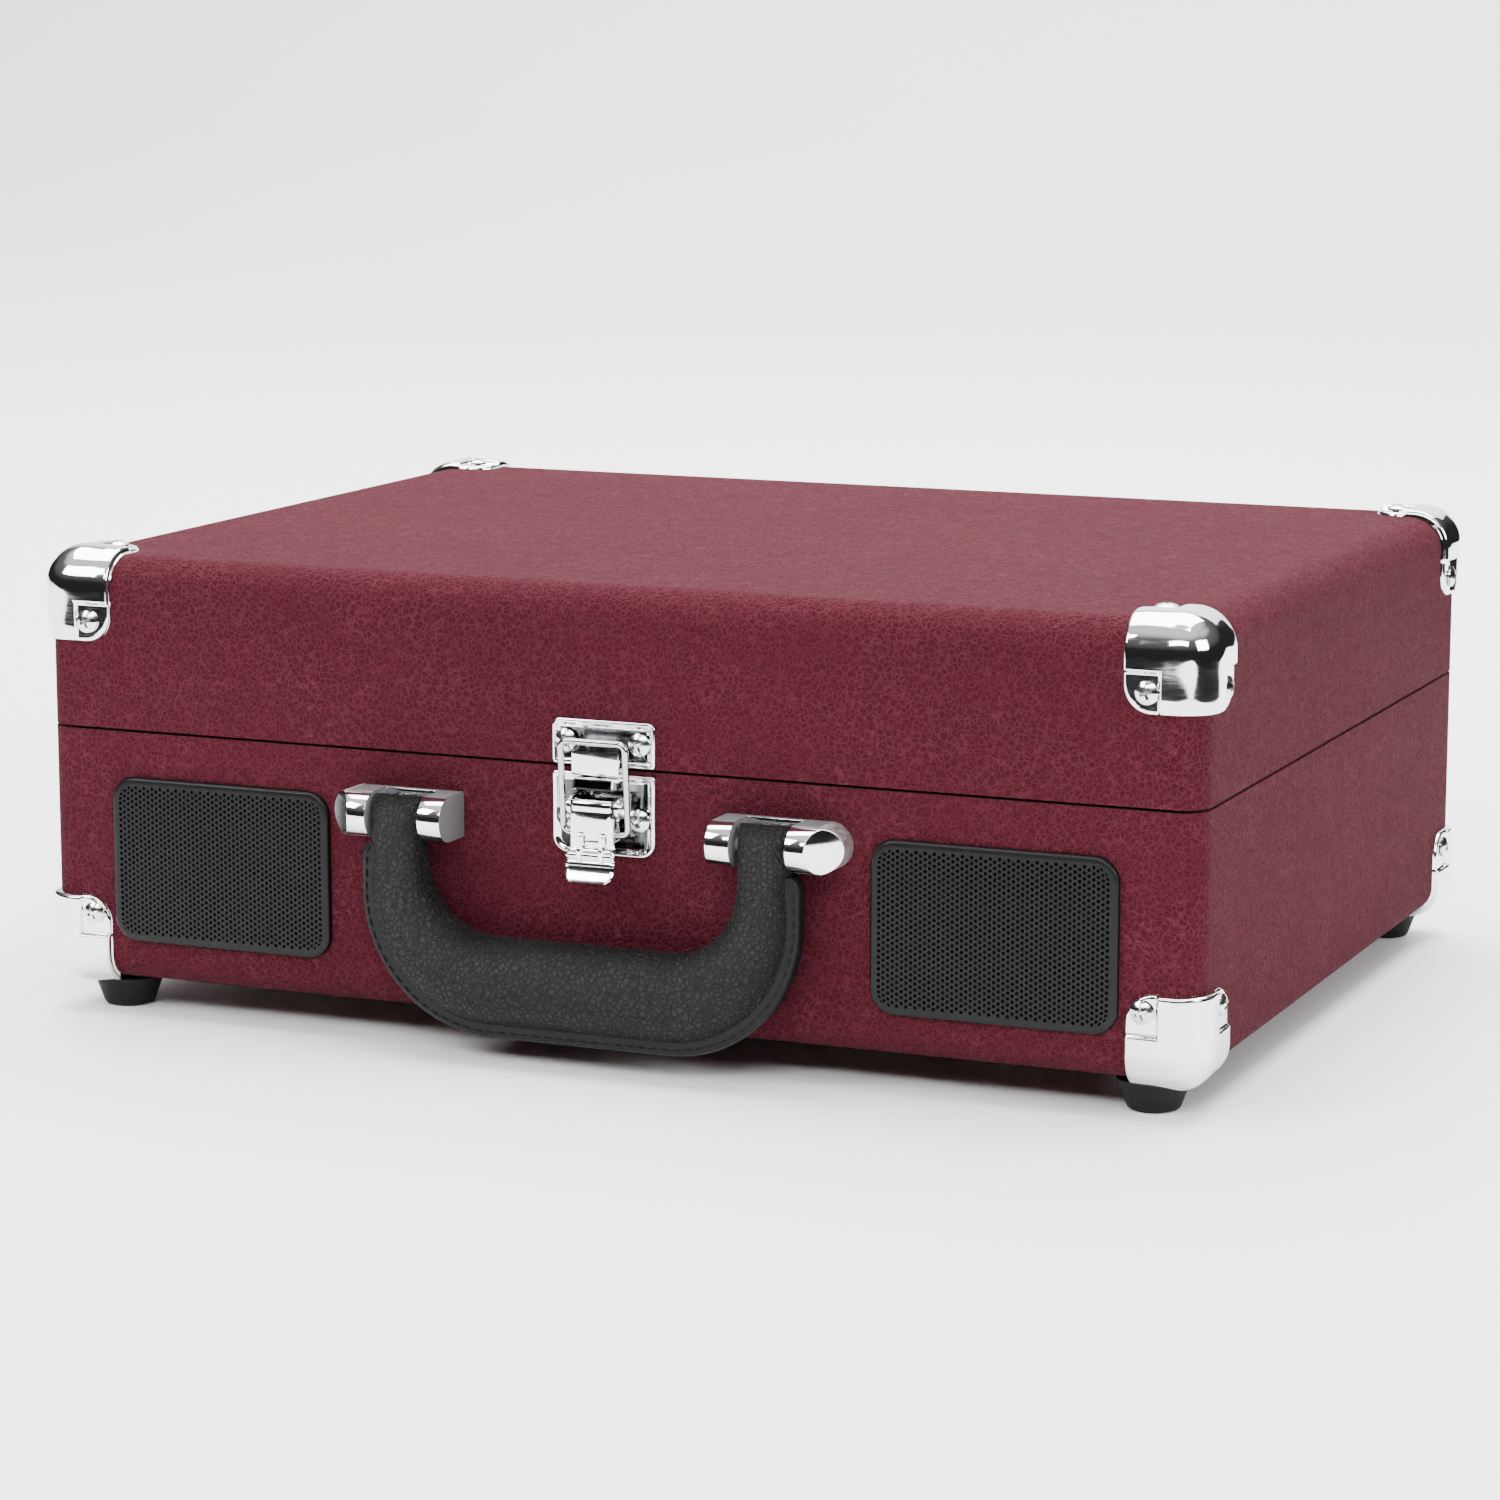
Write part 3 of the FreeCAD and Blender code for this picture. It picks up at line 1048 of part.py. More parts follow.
RY = S.rest_y
rest = [
    box(AX - 5, RY - 6, S.deck_top, AX + 12, RY + 6, S.arm_z - AR - 0.4, "RestPost"),
    box(AX + AR + 0.4, RY - 6, 85, AX + 12, RY + 6, 99.2, "RestWall"),
    box(AX + 7.2, RY - 6, 96, AX + 13, RY - 3.3, 106, "RestEar"),
    box(AX + 7.2, RY + 3.3, 96, AX + 13, RY + 6, 106, "RestEar"),
    rod(AX + 10, RY - 6, 103, 1.0, 12, "Y", "ClipPin"),
    rounded(box(AX - 9, RY - 10, S.deck_top, AX + 16, RY + 10, S.deck_top + 2.4, "RestFoot"), [(lambda e: along(e, "z"), 4.0)], "RestFootRounded"),
]
keep(fuse(rest, "ArmRest"), "arm_rest")
cx = ax + 10
clip = Part.makeCylinder(2.9, 5.8, Vector(cx, RY.v - 2.9, 103), Vector(0, 1, 0))
clip = clip.fuse(Part.makeBox(2.6, 5.8, 12.6, Vector(cx - 1.3, RY.v - 2.9, 103)))
clip = clip.cut(Part.makeCylinder(1.06, 10, Vector(cx, RY.v - 5, 103), Vector(0, 1, 0))).removeSplitter()
keep(feature(clip, "Clip"), "arm_clip")

lever = Part.makeCylinder(3.2, 6.4, Vector(132.0, 70, 77.5), Vector(1, 0, 0))
lever = lever.fuse(Part.makeBox(4.4, 26, 2.4, Vector(133.0, 44, 76.3)))
lever = lever.fuse(Part.makeCylinder(3.6, 3.4, Vector(135.2, 44, 75.8)))
lever = lever.cut(Part.makeCylinder(1.56, 10, Vector(130, 70, 77.5), Vector(1, 0, 0))).removeSplitter()
keep(feature(lever, "CueLever"), "cue_lever")

ring = Part.makeCylinder(21.5, 2.4, Vector(ax, hy, 90.1)).cut(Part.makeCylinder(18.0, 4, Vector(ax, hy, 89)))
wedge = [Vector(ax, hy, 80)]
for k in range(13):
    t = math.radians(-12 + 74 * k / 12.0)
    wedge.append(Vector(ax - 60 * math.sin(t), hy - 60 * math.cos(t), 80))
wedge.append(wedge[0])
arc = ring.common(Part.Face(Part.makePolygon(wedge)).extrude(Vector(0, 0, 30)))
arc = arc.fuse(Part.makeCylinder(2.0, 29.0, Vector(103.8, 67.3, 62.0))).removeSplitter()
keep(feature(arc, "CuePlatform"), "cue_platform")

# ---- controls ---------------------------------------------------------------------


def knob(label, y):
    """Fluted knob with a pointer groove, on its own shaft."""
    body = new_body(label)
    sk = sketch(body, "XZ_Plane")
    polygon(sk, [(0, 55.0), (3.0, 55.0), (3.0, 69.4), (10.4, 69.4), (10.4, 71.2), (9.4, 71.8), (8.8, 82.6), (8.0, 83.4), (0, 83.4)])
    revolve(body, sk)
    sk = sketch(body, "XY_Plane", 84.0)
    circle(sk, 10.1, 0, 1.3)
    cutp = pocket(body, sk, 12.2)
    pat = body.newObject("PartDesign::PolarPattern", "Flutes")
    pat.Originals = [cutp]
    pat.Axis = (sk, ["N_Axis"])
    pat.Angle = 360
    pat.Occurrences = 16
    body.Tip = pat
    sk = sketch(body, "XY_Plane", 84.0)
    rect(sk, -0.5, -8.6, 0.5, -3.0)
    pocket(body, sk, 1.1)
    return keep(body, label, KX, y)


knob("volume_knob", S.volume_y)
knob("function_knob", S.function_y)

jacks = []
for y in (S.jack_y1, S.jack_y2):
    shell = fuse([rod(KX, y, 52.0, 4.0, 16.4, "Z", "JackBarrel"), rod(KX, y, S.deck_top, 5.4, 1.2, "Z", "JackRing"), box(KX - 5, y - 6, 50.0, KX + 5, y + 6, 62.0, "JackBody")], "JackForm")
    jacks.append(cut(shell, [rod(KX, y, 55.2, S.jack_bore, 20, "Z", "JackBore")], "Jack"))
keep(fuse(jacks, "Jacks"), "audio_jacks")


def slider(label, x, half, y0):
    stem = box(x - 1.6, y0 - 2.6, 60.5, x + 1.6, y0 + 2.6, 69.0, "SliderStem")
    cap = rounded(box(x - 3.2, y0 - 3.4, S.deck_top + 0.4, x + 3.2, y0 + 3.4, 72.0, "SliderCap"), [(lambda e: z_of(e, 72.0) or along(e, "z"), 0.8)], "SliderCapRounded")
    rib = box(x - 2.2, y0 - 0.5, 71.8, x + 2.2, y0 + 0.5, 72.8, "SliderRib")
    return keep(fuse([stem, cap, rib], "Slider"), label)


slider("speed_switch", KX, 7, S.speed_y - 4)
slider("autostop_switch", S.stop_x, 5, S.speed_y - 2)

# amplifier board under the controls, with the pots, switch bodies and parts soldered to it
pcb = fuse([box(96, -98, 46.0, 166, 34, 47.6, "Board"), box(136, -108.4, 46.0, 166, -97, 47.6, "Board")], "BoardOutline")
soldered = [
    cut(box(KX - 8.5, S.volume_y - 8.5, 47.6, KX + 8.5, S.volume_y + 8.5, 57, "Pot"), [rod(KX, S.volume_y, 50, 3.06, 20, "Z", "PotBore")], "PotBored"),
    cut(box(KX - 8.5, S.function_y - 8.5, 47.6, KX + 8.5, S.function_y + 8.5, 57, "Pot"), [rod(KX, S.function_y, 50, 3.06, 20, "Z", "PotBore")], "PotBored"),
    box(KX - 3.5, S.speed_y - 11, 47.6, KX + 3.5, S.speed_y + 11, 60, "SpeedBody"),
    box(S.stop_x - 3.5, S.speed_y - 9, 47.6, S.stop_x + 3.5, S.speed_y + 9, 60, "StopBody"),
    rod(108, -70, 47.6, 5.0, 14, "Z", "Capacitor"),
    rod(120, -84, 47.6, 4.0, 11, "Z", "Capacitor"),
    rod(108, -90, 47.6, 4.0, 11, "Z", "Capacitor"),
    box(102, -50, 47.6, 124, -46, 63, "HeatSink"),
    box(104, -30, 47.6, 122, -22, 51, "Chip"),
]
posts = [rod(x, y, z, 3.0, 46.0 - z, "Z", "BoardPost") for x, y, z in ((101, -92, 6.8), (101, 28, 4.7), (161, -90, 6.8), (161, 28, 6.8))]
doc.recompute()
keep(feature(Part.makeCompound([solid for item in [pcb] + soldered + posts for solid in item.Shape.Solids]), "Amplifier"), "amplifier_board")

# 45 rpm adapter, lying in its recess in the deck
AD = S.adapter_radius
turned("adapter_45", [(3.65, 66.65), (AD, 66.65), (AD, 69.8), (AD - 0.8, 70.4), (13.0, 70.4), (12.0, 69.2), (7.5, 69.2), (6.5, 70.4), (3.65, 70.4)], S.adapter_x, S.adapter_y)

# ---- rear connectors --------------------------------------------------------------

RX, RZ = S.rear_plate_x, S.rear_plate_z
body = new_body("RearPlate")
sk = sketch(body, "XZ_Plane", -HD - 1.4)
rect(sk, RX - 29, RZ - 12, RX + 29, RZ + 12)
pad(body, sk, 1.38)
edge_fillet(body, 3.0, lambda e: along(e, "y"))
rca = []
for dx in (-17.0, 1.0):
    rca.append(rod(RX + dx, HD - 7, RZ, 6.2, 8.6, "Y", "SocketBase"))
    rca.append(rod(RX + dx, HD + 1, RZ, 4.15, 8.0, "Y", "SocketBarrel"))
plate = fuse([body] + rca, "RearPlateSockets")
bores = [rod(RX + dx, HD - 3, RZ, 1.7, 20, "Y", "SocketBore") for dx in (-17.0, 1.0)]
bores.append(rod(RX + 18, HD - 12, RZ, 5.0, 20, "Y", "PowerHole"))
keep(cut(plate, bores, "RearPlateForm"), "rear_jack_plate")
dc = fuse([rod(RX + 18, HD - 9, RZ, 4.9, 11.2, "Y", "PowerBarrel"), rounded(box(RX + 13, HD - 13, RZ - 5, RX + 23, HD - 1.5, RZ + 5, "PowerBody"), [(lambda e: along(e, "y"), 0.8)], "PowerBodyRounded")], "PowerForm")
power = cut(dc, [rod(RX + 18, HD - 8, RZ, S.dc_bore, 20, "Y", "PowerBore")], "PowerBored")
keep(fuse([power, rod(RX + 18, HD - 8.5, RZ, 1.0, 9.0, "Y", "PowerPin")], "PowerJack"), "dc_jack")

# ---- check and write --------------------------------------------------------------

doc.recompute()
bad = [o.Name for o in doc.Objects if "Invalid" in o.State or "Error" in o.State]
for obj in PARTS:
    s = obj.Shape
    if s.isNull() or not s.isValid():
        bad.append(obj.Label + " shape")
    elif not s.Solids:
        bad.append(obj.Label + " has no solid")
if bad:
    raise SystemExit("failed: " + ", ".join(bad))
labels = [o.Label for o in PARTS]
if len(labels) != len(set(labels)):
    raise SystemExit("two sub-parts share a name")

os.makedirs("parts", exist_ok=True)
for obj in PARTS:
    obj.Shape.exportStep("parts/%s.step" % obj.Label)
total = None
for obj in PARTS:
    b = obj.Shape.BoundBox
    total = b if total is None else total.united(b)
print("sub-parts", len(PARTS))
print("box x %.2f %.2f y %.2f %.2f z %.2f %.2f" % (total.XMin, total.XMax, total.YMin, total.YMax, total.ZMin, total.ZMax))
for obj in PARTS:
    s = obj.Shape
    print("%-26s solids %d volume %.1f" % (obj.Label, len(s.Solids), s.Volume))
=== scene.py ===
import json
import math

import bmesh
import bpy
from mathutils import Matrix, Vector
from mathutils.bvhtree import BVHTree


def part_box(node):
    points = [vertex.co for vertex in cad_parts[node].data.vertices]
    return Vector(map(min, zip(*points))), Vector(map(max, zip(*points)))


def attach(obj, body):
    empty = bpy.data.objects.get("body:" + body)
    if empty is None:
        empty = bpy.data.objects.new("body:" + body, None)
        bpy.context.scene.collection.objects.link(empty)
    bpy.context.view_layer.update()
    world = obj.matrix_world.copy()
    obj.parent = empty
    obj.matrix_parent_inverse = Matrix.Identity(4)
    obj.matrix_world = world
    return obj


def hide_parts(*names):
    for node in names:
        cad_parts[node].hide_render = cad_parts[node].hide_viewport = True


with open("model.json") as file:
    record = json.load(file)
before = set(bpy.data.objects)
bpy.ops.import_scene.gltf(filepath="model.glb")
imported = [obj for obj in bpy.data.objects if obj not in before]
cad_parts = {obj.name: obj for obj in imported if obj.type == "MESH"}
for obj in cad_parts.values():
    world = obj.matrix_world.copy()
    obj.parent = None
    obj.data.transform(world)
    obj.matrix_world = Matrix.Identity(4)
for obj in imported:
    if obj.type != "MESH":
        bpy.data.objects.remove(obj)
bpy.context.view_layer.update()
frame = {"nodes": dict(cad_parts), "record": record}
MM = 0.001

# The case frame used below: x, y from the case's middle, z from its underside.
lo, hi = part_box("base_covering")
CX, CY, CZ = (lo[0] + hi[0]) / 2, (lo[1] + hi[1]) / 2, lo[2]
HW, HD = (hi[0] - lo[0]) / 2 / MM, (hi[1] - lo[1]) / 2 / MM
LID_LO, LID_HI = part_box("lid_covering")
TOP = (LID_HI[2] - CZ) / MM


def W(x, y, z):
    return (CX + x * MM, CY + y * MM, CZ + z * MM)


# ---------------------------------------------------------------- node helpers


class Mat:
    def __init__(self, name):
        self.m = bpy.data.materials.new(name)
        self.m.use_nodes = True
        self.t = self.m.node_tree
        self.b = self.t.nodes["Principled BSDF"]

    def set(self, **kw):
        for k, v in kw.items():
            s = self.b.inputs[k.replace("_", " ")]
            s.default_value = (*v, 1.0) if hasattr(v, "__len__") and len(v) == 3 else v
        return self

    def node(self, kind, **kw):
        n = self.t.nodes.new(kind)
        for k, v in kw.items():
            setattr(n, k, v)
        return n

    def link(self, a, b):
        self.t.links.new(a, b)

    def coord(self, scale=(1, 1, 1), loc=(0, 0, 0)):
        tc = self.node("ShaderNodeTexCoord")
        mp = self.node("ShaderNodeMapping")
        mp.inputs["Scale"].default_value = scale
        mp.inputs["Location"].default_value = loc
        self.link(tc.outputs["Object"], mp.inputs["Vector"])
        return mp.outputs["Vector"]

    def noise(self, vec, scale, detail=3.0, rough=0.5, dist=0.0):
        n = self.node("ShaderNodeTexNoise")
        n.inputs["Scale"].default_value = scale
        n.inputs["Detail"].default_value = detail
        n.inputs["Roughness"].default_value = rough
        n.inputs["Distortion"].default_value = dist
        self.link(vec, n.inputs["Vector"])
        return n

    def voronoi(self, vec, scale, feature="DISTANCE_TO_EDGE", rand=1.0):
        n = self.node("ShaderNodeTexVoronoi", feature=feature)
        n.inputs["Scale"].default_value = scale
        n.inputs["Randomness"].default_value = rand
        self.link(vec, n.inputs["Vector"])
        return n

    def ramp(self, fac, stops):
        n = self.node("ShaderNodeValToRGB")
        e = n.color_ramp.elements
        while len(e) < len(stops):
            e.new(0.5)
        for el, (p, c) in zip(e, stops):
            el.position = p
            el.color = (*c, 1.0) if hasattr(c, "__len__") else (c, c, c, 1.0)
        self.link(fac, n.inputs["Fac"])
        return n.outputs["Color"]

    def math(self, op, a, b=None, clamp=False):
        n = self.node("ShaderNodeMath", operation=op, use_clamp=clamp)
        for i, v in enumerate((a, b)):
            if v is None:
                continue
            if isinstance(v, (int, float)):
                n.inputs[i].default_value = v
            else:
                self.link(v, n.inputs[i])
        return n.outputs[0]

    def mix(self, fac, a, b, blend="MIX"):
        n = self.node("ShaderNodeMix", data_type="RGBA", blend_type=blend)
        for key, v in (("Factor", fac), ("A", a), ("B", b)):
            s = [i for i in n.inputs if i.name == key and (i.type == ("VALUE" if key == "Factor" else "RGBA"))][0]
            if isinstance(v, (int, float)):
                s.default_value = v
            elif isinstance(v, tuple):
                s.default_value = (*v, 1.0)
            else:
                self.link(v, s)
        return [o for o in n.outputs if o.type == "RGBA"][0]

    def bump(self, height, strength, distance, normal=None):
        n = self.node("ShaderNodeBump")
        n.inputs["Strength"].default_value = strength
        n.inputs["Distance"].default_value = distance
        self.link(height, n.inputs["Height"])
        if normal is not None:
            self.link(normal, n.inputs["Normal"])
        return n.outputs["Normal"]

    def out(self, **kw):
        for k, v in kw.items():
            self.link(v, self.b.inputs[k.replace("_", " ")])
        return self.m


# ---------------------------------------------------------------- materials


def leatherette(name, base, dark, light):
    """Embossed covering: small irregular cells with fine cracks between them, over slow tonal change."""
    m = Mat(name).set(Specular_IOR_Level=0.075)
    v = m.coord()
    warp = m.noise(v, 260, 2.0)
    wv = m.node("ShaderNodeVectorMath", operation="MULTIPLY_ADD")
    m.link(warp.outputs["Color"], wv.inputs[0])
    wv.inputs[1].default_value = (0.0012, 0.0012, 0.0012)
    m.link(v, wv.inputs[2])
    cells = m.voronoi(wv.outputs[0], 560)
    fine = m.voronoi(wv.outputs[0], 1300)
    pores = m.noise(v, 2600, 2.0)
    cell_h = m.ramp(cells.outputs["Distance"], [(0.0, 0.0), (0.10, 0.62), (0.34, 1.0)])
    fine_h = m.ramp(fine.outputs["Distance"], [(0.0, 0.0), (0.12, 0.8), (0.4, 1.0)])
    presence = m.ramp(m.noise(v, 45, 3.0).outputs["Fac"], [(0.30, 0.35), (0.68, 1.0)])
    h1 = m.math("MULTIPLY", cell_h, presence)
    h2 = m.math("MULTIPLY", fine_h, 0.38)
    h3 = m.math("MULTIPLY", pores.outputs["Fac"], 0.30)
    h = m.math("ADD", m.math("ADD", h1, h2), h3)
    slow = m.noise(v, 9, 3.0).outputs["Fac"]
    tone = m.ramp(slow, [(0.25, dark), (0.55, base), (0.8, light)])
    # pale ridges beside the cracks are painted highlight, and the darker pits between them are painted shade
    painted_highlight_ridge = m.math("MULTIPLY", m.ramp(cells.outputs["Distance"], [(0.0, 0.15), (0.045, 1.0), (0.12, 0.0)]), presence)
    grain = m.ramp(m.noise(v, 1500, 3.0, 0.65).outputs["Fac"], [(0.34, 0.62), (0.52, 0.96), (0.70, 1.50)])
    painted_shade_pit = m.ramp(fine.outputs["Distance"], [(0.0, 0.62), (0.12, 1.0)])
    col = m.mix(1.0, m.mix(1.0, tone, painted_shade_pit, "MULTIPLY"), grain, "MULTIPLY")
    col = m.mix(m.math("MULTIPLY", painted_highlight_ridge, 0.55), col, tuple(min(1.0, c * 2.2 + 0.022) for c in base))
    rough = m.ramp(m.noise(v, 320, 3.0).outputs["Fac"], [(0.3, 0.74), (0.7, 0.92)])
    n = m.bump(h, 1.0, 0.00050)
    return m.out(Base_Color=col, Roughness=rough, Normal=n)


def hide(name, base, light):
    """Black grained leather of the grip: deep pebbles and shallow wrinkles."""
    m = Mat(name).set(Specular_IOR_Level=0.30)
    v = m.coord()
    warp = m.noise(v, 420, 2.0)
    wv = m.node("ShaderNodeVectorMath", operation="MULTIPLY_ADD")
    m.link(warp.outputs["Color"], wv.inputs[0])
    wv.inputs[1].default_value = (0.0011, 0.0011, 0.0011)
    m.link(v, wv.inputs[2])
    cells = m.voronoi(wv.outputs[0], 620)
    fine = m.voronoi(wv.outputs[0], 1400)
    h1 = m.ramp(cells.outputs["Distance"], [(0.0, 0.0), (0.14, 0.7), (0.42, 1.0)])
    h2 = m.math("MULTIPLY", m.ramp(fine.outputs["Distance"], [(0.0, 0.0), (0.2, 1.0)]), 0.35)
    h = m.math("ADD", h1, h2)
    # the pebble tops are painted lighter than the hollows between them as painted highlight, standing in for glints on
    # the grain
    painted_highlight_tops = m.ramp(cells.outputs["Distance"], [(0.02, 0.0), (0.14, 0.35), (0.30, 1.0)])
    patch = m.ramp(m.noise(v, 190, 3.0).outputs["Fac"], [(0.32, 0.35), (0.66, 1.0)])
    col = m.mix(m.math("MULTIPLY", painted_highlight_tops, patch), base, light)
    rough = m.ramp(cells.outputs["Distance"], [(0.05, 0.62), (0.30, 0.34)])
    return m.out(Base_Color=col, Roughness=rough, Normal=m.bump(h, 1.0, 0.0016))


def smooth_hide(name, base):
    m = Mat(name).set(Specular_IOR_Level=0.18)
    v = m.coord()
    n1 = m.noise(v, 900, 3.0)
    col = m.ramp(m.noise(v, 60, 3.0).outputs["Fac"], [(0.3, base), (0.7, tuple(c * 1.7 for c in base))])
    rough = m.ramp(n1.outputs["Fac"], [(0.3, 0.34), (0.7, 0.48)])
    return m.out(Base_Color=col, Roughness=rough, Normal=m.bump(n1.outputs["Fac"], 0.12, 0.0002))


def chrome(name, tint=(0.90, 0.90, 0.91), rough=0.035, wave=0.5):
    """Bright plate: nearly a mirror, with the slow ripple of pressed sheet and faint wipe marks."""
    m = Mat(name).set(Metallic=1.0)
    v = m.coord()
    ripple = m.noise(v, 70, 2.0)
    marks = m.noise(m.coord((1, 1, 9)), 160, 4.0)
    r = m.ramp(marks.outputs["Fac"], [(0.35, rough), (0.75, rough * 2.6 + 0.01)])
    c = m.ramp(m.noise(v, 30, 2.0).outputs["Fac"], [(0.3, tint), (0.8, tuple(t * 0.95 for t in tint))])
    return m.out(Base_Color=c, Roughness=r, Normal=m.bump(ripple.outputs["Fac"], 0.06 * wave, 0.001))


def steel(name, tint, rough=0.3, grain=(1, 1, 1), bump=0.15):
    m = Mat(name).set(Metallic=1.0)
    v = m.coord(grain)
    g = m.noise(v, 900, 4.0, 0.6)
    r = m.ramp(g.outputs["Fac"], [(0.3, rough * 0.75), (0.7, rough * 1.35)])
    c = m.ramp(m.noise(m.coord(), 120, 3.0).outputs["Fac"], [(0.3, tuple(t * 0.86 for t in tint)), (0.7, tint)])
    return m.out(Base_Color=c, Roughness=r, Normal=m.bump(g.outputs["Fac"], bump, 0.0001))


def cast_zinc(name, tint):
    """Unpolished cast face: sandy and half matt."""
    m = Mat(name).set(Metallic=0.35, Specular_IOR_Level=0.3)
    v = m.coord()
    g = m.noise(v, 1500, 4.0, 0.65)
    s = m.noise(v, 260, 3.0)
    r = m.ramp(s.outputs["Fac"], [(0.3, 0.50), (0.7, 0.66)])
    c = m.ramp(g.outputs["Fac"], [(0.3, tuple(t * 0.66 for t in tint)), (0.7, tuple(t * 1.1 for t in tint))])
    return m.out(Base_Color=c, Roughness=r, Normal=m.bump(g.outputs["Fac"], 0.6, 0.00018))


def painted_reflection_metal(name, dark, light):
    """Plated field inside a rim, with painted reflection in its colour: painted near black for the dark room it faces,
    with pale upright streaks for the lights.
    """
    m = Mat(name).set(Metallic=1.0)
    v = m.coord((1, 1, 0.25))
    s = m.noise(v, 210, 3.0, 0.5, 0.8)
    c = m.ramp(s.outputs["Fac"], [(0.38, dark), (0.58, tuple((a + b) / 2 for a, b in zip(dark, light))), (0.72, light)])
    r = m.ramp(m.noise(m.coord(), 500, 3.0).outputs["Fac"], [(0.3, 0.07), (0.7, 0.16)])
    return m.out(Base_Color=c, Roughness=r, Normal=m.bump(s.outputs["Fac"], 0.15, 0.001))


def plastic(name, base, rough=0.5, texture=0.25, scale=1600, spec=0.45):
    """Moulded plastic with spark-eroded texture and slight tonal drift."""
    m = Mat(name).set(Specular_IOR_Level=spec)
    v = m.coord()
    g = m.noise(v, scale, 3.0)
    slow = m.noise(v, 30, 3.0)
    c = m.ramp(slow.outputs["Fac"], [(0.3, tuple(t * 0.85 for t in base)), (0.7, tuple(min(1, t * 1.15) for t in base))])
    r = m.ramp(m.noise(v, 200, 3.0).outputs["Fac"], [(0.3, rough * 0.88), (0.7, min(1, rough * 1.12))])
    return m.out(Base_Color=c, Roughness=r, Normal=m.bump(g.outputs["Fac"], texture, 0.00012))


def rubber(name, base):
    m = Mat(name).set(Specular_IOR_Level=0.18)
    v = m.coord()
    g = m.noise(v, 1300, 3.0)
    c = m.ramp(m.noise(v, 90, 4.0).outputs["Fac"], [(0.3, base), (0.75, tuple(t * 2.1 for t in base))])
    r = m.ramp(g.outputs["Fac"], [(0.3, 0.55), (0.7, 0.75)])
    return m.out(Base_Color=c, Roughness=r, Normal=m.bump(g.outputs["Fac"], 0.2, 0.0001))


def fibreboard(name, base):
    """Pressed board: short pale and dark fibres."""
    m = Mat(name)
    v = m.coord((1, 1, 3))
    f1 = m.noise(v, 700, 5.0, 0.7, 1.2)
    c = m.ramp(f1.outputs["Fac"], [(0.25, tuple(t * 0.6 for t in base)), (0.5, base), (0.75, tuple(min(1, t * 1.35) for t in base))])
    return m.set(Roughness=0.85).out(Base_Color=c, Normal=m.bump(f1.outputs["Fac"], 0.3, 0.0002))


def hardboard(name, base):
    m = Mat(name)
    v = m.coord()
    f1 = m.noise(v, 240, 6.0, 0.7, 2.0)
    mesh = m.voronoi(v, 500, "F1")
    c = m.ramp(f1.outputs["Fac"], [(0.3, tuple(t * 0.7 for t in base)), (0.6, base), (0.8, tuple(min(1, t * 1.4) for t in base))])
    r = m.ramp(f1.outputs["Fac"], [(0.3, 0.45), (0.7, 0.65)])
    return m.out(Base_Color=c, Roughness=r, Normal=m.bump(mesh.outputs["Distance"], 0.2, 0.0002))


def felt(name, base, light):
    """Short pile felt: matted fibres, with the sheen of cloth."""
    m = Mat(name).set(Roughness=0.95, Sheen_Weight=0.35, Sheen_Roughness=0.5)
    v = m.coord()
    f1 = m.noise(v, 1400, 5.0, 0.75, 1.5)
    f2 = m.noise(v, 240, 4.0, 0.6)
    c = m.mix(m.ramp(f1.outputs["Fac"], [(0.3, 0.0), (0.7, 1.0)]), base, light)
    h = m.math("ADD", f1.outputs["Fac"], m.math("MULTIPLY", f2.outputs["Fac"], 0.5))
    return m.out(Base_Color=c, Normal=m.bump(h, 0.6, 0.0004))


def weave(name, base, light, scale=900):
    """Cloth-backed paper: a fine over-and-under weave."""
    m = Mat(name).set(Roughness=0.8, Specular_IOR_Level=0.3)
    v = m.coord((scale, scale, scale))
    wx = m.node("ShaderNodeTexWave", wave_type="BANDS", bands_direction="X")
    wy = m.node("ShaderNodeTexWave", wave_type="BANDS", bands_direction="Y")
    for w in (wx, wy):
        w.inputs["Scale"].default_value = 0.35
        w.inputs["Distortion"].default_value = 0.6
        m.link(v, w.inputs["Vector"])
    h = m.math("MAXIMUM", wx.outputs["Fac"], wy.outputs["Fac"])
    c = m.mix(h, base, light)
    return m.out(Base_Color=c, Normal=m.bump(h, 0.3, 0.00015))


def circuit(name):
    """Green laminate with lighter solder-masked tracks."""
    m = Mat(name).set(Specular_IOR_Level=0.5)
    v = m.coord()
    br = m.node("ShaderNodeTexBrick")
    br.inputs["Scale"].default_value = 90
    br.inputs["Mortar Size"].default_value = 0.06
    br.inputs["Color1"].default_value = (0.012, 0.085, 0.03, 1)
    br.inputs["Color2"].default_value = (0.016, 0.11, 0.04, 1)
    br.inputs["Mortar"].default_value = (0.05, 0.24, 0.09, 1)
    m.link(v, br.inputs["Vector"])
    r = m.ramp(m.noise(v, 300, 3.0).outputs["Fac"], [(0.3, 0.28), (0.7, 0.42)])
    return m.out(Base_Color=br.outputs["Color"], Roughness=r, Normal=m.bump(br.outputs["Fac"], 0.3, 0.0001))


BURGUNDY = (0.0670, 0.0076, 0.0152)
M = {}
M["leatherette"] = leatherette("leatherette", BURGUNDY, (0.060, 0.0067, 0.0136), (0.074, 0.0086, 0.0170))
